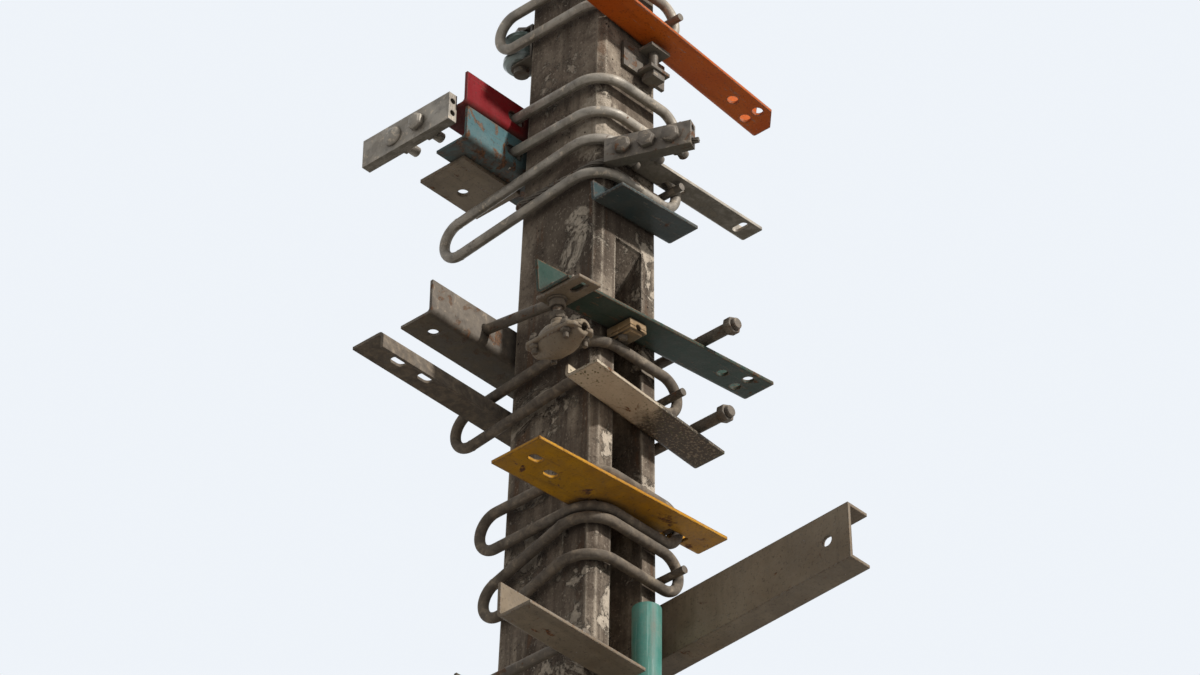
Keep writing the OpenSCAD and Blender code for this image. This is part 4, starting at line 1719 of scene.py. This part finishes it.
@dataclass(frozen=True)
class SmallClampBolt:
    """The bolt's head under the small clamp, at a place in the green arm's frame in millimetres."""

    at: Point = (29.0, -44.0, -22.3)
    turn: float = 20.0

    def build(self, bolted: Bolted) -> None:
        """Model it.

        Args:
            bolted: makes the copies.
        """
        head = bolted.hardware.copy(Kind.HEAD8, GREEN_ARM.point(*self.at), -GREEN_ARM.up(), self.turn)
        bolted.finish("small_clamp_bolt", [head], Slot.ZINC)


@dataclass(frozen=True)
class InsulatorNut:
    """A washer and a nut on the insulator's pin.

    Attributes:
        reach: how far the pin stands out of its bracket, in millimetres.
        turn: the nut's turn, in degrees.
    """

    reach: float = 12.4
    turn: float = 8.0

    def build(self, bolted: Bolted) -> None:
        """Model them.

        Args:
            bolted: makes the copies.
        """
        low, high = (Vector(corner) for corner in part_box("insulator"))
        at = (low + high) / 2
        at.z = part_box("insulator_bracket")[1][2] - self.reach * MM
        parts = bolted.nut(Kind.WASHER14, Kind.NUT14, at, UP, (0, self.turn))
        bolted.finish("insulator_pin_nut", parts, Slot.RUSTY)


@dataclass(frozen=True)
class ChannelBolts:
    """Nuts and threads through the web of the back channel.

    Attributes:
        level: height of its middle, in millimetres.
        under: how far under it the pole's width is taken.
        tilt: its slope, in degrees.
        places: distance of each bolt from its middle.
        sunk: how far a thread begins inside the web.
    """

    level: float = 5928.0
    under: float = 46.0
    tilt: float = 3.0
    places: tuple[float, float] = (-40.0, 40.0)
    sunk: float = 4.0

    def build(self, bolted: Bolted) -> None:
        """Model them.

        Args:
            bolted: makes the copies.
        """
        web = POLE.half_d(self.level - self.under) + POLE.seat + POLE.plate_t
        tilt, out = math.radians(self.tilt), Vector((0, 1, 0))
        parts = []
        for i, x in enumerate(self.places):
            at = metres(x * math.cos(tilt), web, self.level + x * math.sin(tilt))
            parts += bolted.nut(Kind.WASHER16, Kind.NUT16, at, out, (0, 20 * i))
            parts.append(bolted.hardware.copy(Kind.THREAD16, at - out * self.sunk * MM, out))
        bolted.finish("channel_bolts", parts, Slot.RUSTY)


@dataclass(frozen=True)
class ClipScrews:
    """A screw through each foot of each saddle clip of the riser pipe.

    Attributes:
        levels: height of the clips' lower edges, in the pole's height.
        thick: thickness of a clip's strap, in millimetres.
        inset: distance of the clip's end from the pole's edge.
        foot: distance of the screw from the clip's end.
        rise: height of the screw over the clip's lower edge.
        slope: how far the pole's face leans, in its height.
    """

    levels: tuple[float, ...] = (0.055, 0.225, 0.395, 0.565, 0.735)
    thick: float = 3.0
    inset: float = 37.0 / 3
    foot: float = 13.0
    rise: float = 12.5
    slope: float = 0.014

    def build(self, bolted: Bolted) -> None:
        """Model them.

        Args:
            bolted: makes the copies.
        """
        out = Vector((1, 0, self.slope)).normalized()
        parts = []
        for i, level in enumerate(self.levels):
            z = POLE.height * level
            y = POLE.half_d(z) - self.inset - self.foot
            for side in (-1, 1):
                at = metres(POLE.half_w(z) + POLE.seat + self.thick, side * y, z + self.rise)
                parts.append(bolted.hardware.copy(Kind.HEAD8, at, out, 13 * i + 7 * side))
        bolted.finish("clip_screws", parts, Slot.RUSTY)


@dataclass(frozen=True)
class BoatHalf:
    """Upper half of a boat-shaped casting, in millimetres.

    Attributes:
        radius: radius at the middle.
        length: its length.
        rings: distance of each ring from the middle, and how wide it is there.
    """

    radius: float
    length: float
    rings: tuple[tuple[float, float], ...]

    def model(self) -> Piece:
        """Model it, with the groove's axis at the origin.

        Returns:
            The half.
        """
        obj = rod(self.radius * MM, self.length * MM, (0, 0, 0), Axis.X, 36)
        with editing(obj):
            for run in [run for run, _ in self.rings if run < self.length / 2]:
                cut_across((-run * MM, 0, 0), (1, 0, 0))
                cut_across((run * MM, 0, 0), (1, 0, 0))
        for run, size in self.rings:
            with picked(obj, Pick.VERTS, lambda vert: abs(abs(vert.co.x) - run * MM) < 1e-5):
                bpy.ops.transform.resize(value=(1, size, size), center_override=(0, 0, 0))
        with editing(obj):
            cut_across((0, 0, 0), UP, fill=True, drop_under=True)
        rounded(obj, 2.2 * MM, 3, 40)
        return obj


@dataclass(frozen=True)
class SuspensionClamp:
    """Cast clamp under the green arm: slotted plate, stem, boat-shaped body and keeper.

    Attributes:
        at: place of the stem in the arm's frame, in millimetres.
        axis: height of the strand's groove in the arm's frame.
        groove: radius of the groove.
        upper: the body.
        lower: the keeper, modelled as an upper half.
        ledge: size of the flange where they meet.
        corner: distance of the cuts at the flange's corners from its middle.
        bolts: distance of the bolts from its middle.
    """

    at: tuple[float, float] = (16.0, -165.0)
    axis: float = -72.0
    groove: float = 5.75
    upper: BoatHalf = BoatHalf(26.0, 100.0, ((9.0, 1.0), (20.0, 0.88), (32.0, 0.62), (50.0, 0.44)))
    lower: BoatHalf = BoatHalf(25.0, 92.0, ((9.0, 1.0), (20.0, 0.90), (32.0, 0.66), (46.0, 0.46)))
    ledge: Point = (96.0, 53.0, 7.0)
    corner: tuple[float, float] = (40.0, 26.5)
    bolts: tuple[float, float] = (30.0, 19.5)

    def flange(self) -> Piece:
        """Model the ledge where both halves meet, with its corners cut.

        Returns:
            The ledge.
        """
        obj = block(tuple(size * MM for size in self.ledge), (0, 0, 0))
        with editing(obj):
            for x, y in ((-1, -1), (-1, 1), (1, -1), (1, 1)):
                at = (x * self.corner[0] * MM, y * self.corner[1] * MM, 0)
                cut_across(at, (x, y, 0), fill=True, drop_over=True)
        rounded(obj, 1.6 * MM, 3)
        return obj

    def plate(self) -> Piece:
        """Model the slotted plate under the arm's flat leg.

        Returns:
            The plate.
        """
        obj = block((84 * MM, 44 * MM, 5 * MM), (22 * MM, 0, -2.8 * MM))
        hollow(obj, rod(7.5 * MM, 20 * MM, (0, 0, 0)))
        hollow(obj, rod(6.5 * MM, 20 * MM, (34 * MM, 0, 0)))
        hollow(obj, block((22 * MM, 13 * MM, 20 * MM), (45 * MM, 0, 0)))
        rounded(obj, 0.7 * MM)
        return obj

    def casting(self, copy: Callable[..., Piece]) -> list[Piece]:
        """Model the body, the keeper, their flange, the boss, the stem and the plate.

        Args:
            copy: makes the copy of the stem.

        Returns:
            The parts, in the arm's frame under the stem.
        """
        upper, lower = self.upper.model(), self.lower.model()
        lower.data.transform(Matrix.Rotation(math.pi, 4, "X"))
        parts = [upper, lower, self.flange()]
        for part in parts:
            hollow(part, rod(self.groove * MM, 0.2, (0, 0, 0), Axis.X))
            part.data.transform(Matrix.Translation((0, 0, self.axis * MM)))
        boss = rod(11.0 * MM, 14 * MM, (0, 0, (self.axis + 25) * MM))
        rounded(boss, 1.5 * MM)
        return [*parts, boss, copy(Kind.STEM14, metres(0, 0, -45.0), UP), self.plate()]

    def build(self, bolted: Bolted) -> None:
        """Model the clamp and let it stand for its solids.

        Args:
            bolted: gives the small parts and the materials.
        """
        copy, half = bolted.hardware.copy, UP * self.ledge[2] / 2 * MM
        casting = self.casting(copy)
        bolts = [copy(Kind.NUT14, metres(0, 0, self.axis + 32.0), UP, 25)]
        for x in (-self.bolts[0], self.bolts[0]):
            for y in (-self.bolts[1], self.bolts[1]):
                at = metres(x, y, self.axis)
                bolts += [copy(Kind.NUT8, at + half, UP, x + 2 * y),
                          copy(Kind.STUD8, at - UP * 18 * MM, UP), copy(Kind.HEAD8, at - half, -UP, y)]
        for part in casting + bolts:
            part.data.transform(GREEN_ARM.place(*self.at))
        dress(join("suspension_clamp_casting", casting), bolted.palette, Slot.BEIGE, "suspension_clamp")
        bolted.finish("suspension_clamp_bolts", bolts, Slot.ZINC)


@dataclass(frozen=True)
class ParallelClamp:
    """Small clamp of two grooved halves with one bolt, under the green arm, in millimetres.

    Attributes:
        corner: its lowest corner in the arm's frame.
        size: its length, width and height.
        groove_y: distance of the groove from the corner.
        groove_h: height of the groove.
        groove_r: radius of the groove.
        gap: half the gap between the halves.
        crown: how far the middle of an outer face stands out of its rim.
        rim: width of the rim.
    """

    corner: Point = (6.0, -52.0, -22.3)
    size: Point = (46.0, 34.0, 22.0)
    groove_y: float = 17.0
    groove_h: float = 8.0
    groove_r: float = 4.75
    gap: float = 0.2
    crown: float = 3.0
    rim: float = 5.0

    def half(self, low: float, high: float, outer: float) -> Piece:
        """Model one half, its outer face drawn in.

        Args:
            low: height of its lower face.
            high: height of its upper face.
            outer: 1 if the upper face is the outer one, -1 if the lower one is.

        Returns:
            The half.
        """
        length, width, _ = self.size
        obj = block((length * MM, width * MM, (high - low) * MM),
                    (length / 2 * MM, width / 2 * MM, (low + high) / 2 * MM))
        with picked(obj, Pick.FACES, lambda face: face.normal.z * outer > 0.9):
            bpy.ops.transform.translate(value=(0, 0, -outer * self.crown * MM))
            bpy.ops.mesh.inset(thickness=self.rim * MM)
            draw_out(outer * self.crown * MM)
        at = (0, self.groove_y * MM, self.groove_h * MM)
        hollow(obj, rod(self.groove_r * MM, 3 * length * MM, at, Axis.X))
        rounded(obj, 1.3 * MM, 3)
        return obj

    def build(self, bolted: Bolted) -> None:
        """Model both halves and let them stand for the solid.

        Args:
            bolted: gives the materials.
        """
        halves = [self.half(0.0, self.groove_h - self.gap, -1.0),
                  self.half(self.groove_h + self.gap, self.size[2], 1.0)]
        for half in halves:
            half.data.transform(GREEN_ARM.place(0, 0) @ Matrix.Translation(metres(*self.corner)))
        dress(join("parallel_clamp_halves", halves), bolted.palette, Slot.BRASS, "small_clamp")


FITTINGS = (
    GuyClampBolts(),
    TwistedStrand(),
    TieRods("green_rod_nuts", ArmSeat(6408.0, 0.0, -1), GREEN_ARM,
            (Bar(111.34, 6437.0, 6436.86, 106.2), Bar(-117.40, 6437.0, 6412.82))),
    TieRods("cream_rod_nuts", ArmSeat(6252.0, -4.2, -1), ArmSeat(6252.0, -4.2),
            (Bar(96.87, 6273.97, 6273.97, 106.2),)),
    TieRods("beige_rod_nuts", ArmSeat(5795.0, 0.0, -1), ArmSeat(5795.0),
            (Bar(115.0, 5824.0, 5824.0), Bar(-115.0, 5824.0, 5824.0))),
    UpperLinkNuts(),
    StrandClampBolts(),
    StemNuts(),
    SmallClampBolt(),
    InsulatorNut(),
    ChannelBolts(),
    ClipScrews(),
    SuspensionClamp(),
    ParallelClamp(),
)


# Stage


@dataclass(frozen=True)
class Lamp:
    """A distant lamp.

    Attributes:
        name: its name.
        energy: its strength.
        spread: how soft its shadows are, in degrees.
        source: where it shines from.
    """

    name: str
    energy: float
    spread: float
    source: Point


@dataclass(frozen=True)
class Stage:
    """Floor, light and the camera at the photo's angle.

    Attributes:
        azimuth: the camera's turn round the pole, in degrees.
        elevation: its height, in degrees under the level.
        roll: its roll.
        lens: its focal length, in millimetres.
        sensor: width of its sensor.
        distance: its distance, in metres.
        look_z: the level that it looks at.
        look_right: how far beside the pole's middle it looks.
        lamps: the lamps.
        sky: colour of the background.
        light: colour and strength of the light from all round.
        floor: the floor's two colours where it is seen.
        shade: its colour for the light that it throws back.
    """

    azimuth: float = 44.0
    elevation: float = -36.0
    roll: float = 1.39
    lens: float = 168.0
    sensor: float = 36.0
    distance: float = 8.1
    look_z: float = 6.446
    look_right: float = 0.0214
    lamps: tuple[Lamp, ...] = (Lamp("sun", 3.5, 3.0, (0.86, 0.12, 0.50)),
                               Lamp("fill", 0.30, 40.0, (-0.15, -0.75, -0.25)))
    sky: Colour = (0.86, 0.90, 0.95)
    light: tuple[Colour, float] = ((0.93, 0.96, 1.0), 0.40)
    floor: tuple[Colour, Colour] = ((0.74, 0.74, 0.73), (0.80, 0.80, 0.79))
    shade: Colour = (0.34, 0.33, 0.32)

    def build(self) -> None:
        """Make the stage."""
        self.lay_floor()
        self.hang_sky()
        self.set_lamps()
        self.place_camera()
        bpy.context.scene.view_settings.view_transform = "Standard"

    def lay_floor(self) -> None:
        """Make a wide pale floor."""
        clear_selection()
        bpy.ops.mesh.primitive_plane_add(size=400.0, location=(0, 0, -2 * MM))
        floor = bpy.context.active_object
        floor.name = "floor"
        bpy.ops.object.transform_apply(location=True)
        look = Look("floor")
        pale = look.net.mix(look.noise(Grain(0.6)), *self.floor)
        look.colour = look.net.mix(look.net.seen(), self.shade, pale)
        look.finish({"Roughness": 0.9})
        floor.data.materials.append(look.material)

    def hang_sky(self) -> None:
        """Make a pale background and a softer light from all round."""
        world = bpy.data.worlds.new("pale_sky")
        bpy.context.scene.world = world
        world.use_nodes = True
        world.node_tree.nodes.clear()
        net = Net(world.node_tree)
        pale = net.add("Background", {"Color": self.sky, "Strength": 1.0}).outputs[0]
        light = net.add("Background", {"Color": self.light[0], "Strength": self.light[1]}).outputs[0]
        both = net.add("MixShader", {0: net.seen(), 1: light, 2: pale}).outputs[0]
        net.add("OutputWorld", {0: both})

    def set_lamps(self) -> None:
        """Add a low sun from the right and a soft one from the front."""
        for lamp in self.lamps:
            light = bpy.data.objects.new(lamp.name, bpy.data.lights.new(lamp.name, "SUN"))
            light.data.energy = lamp.energy
            light.data.angle = math.radians(lamp.spread)
            light.rotation_mode = "QUATERNION"
            light.rotation_quaternion = Vector(lamp.source).to_track_quat("Z", "Y")
            bpy.context.collection.objects.link(light)

    def place_camera(self) -> None:
        """Place the camera below the head of the pole, looking up."""
        az, el = math.radians(self.azimuth), math.radians(self.elevation)
        right = Vector((math.cos(az), math.sin(az), 0))
        away = Vector((math.sin(az) * math.cos(el), -math.cos(az) * math.cos(el), math.sin(el)))
        roll = Quaternion((0, 0, 1), math.radians(self.roll))
        camera = bpy.data.objects.new("camera", bpy.data.cameras.new("camera"))
        camera.data.lens = self.lens
        camera.data.sensor_width = self.sensor
        camera.location = Vector((0, 0, self.look_z)) + right * self.look_right + away * self.distance
        camera.rotation_mode = "QUATERNION"
        camera.rotation_quaternion = (-away).to_track_quat("-Z", "Y") @ roll
        bpy.context.collection.objects.link(camera)
        bpy.context.scene.camera = camera


def dress_solids(palette: Palette) -> None:
    """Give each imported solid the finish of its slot.

    Args:
        palette: the materials.
    """
    slots = {row["node"]: Slot(row["material_slot"]) for row in frame["record"]["subparts"]}
    for name, obj in frame["nodes"].items():
        obj.data.materials.clear()
        obj.data.materials.append(palette.made[slots[name]])


def main() -> None:
    """Build the looks in order."""
    logging.basicConfig(level=logging.INFO, format="%(message)s")
    Stage().build()
    palette = Palette(Effects())
    for finish in FINISHES:
        finish.build(palette)
    dress_solids(palette)
    hardware = Hardware()
    hardware.model()
    bolted = Bolted(hardware, palette)
    for fitting in FITTINGS:
        fitting.build(bolted)
    hardware.clear()


if __name__ == "__main__":
    main()
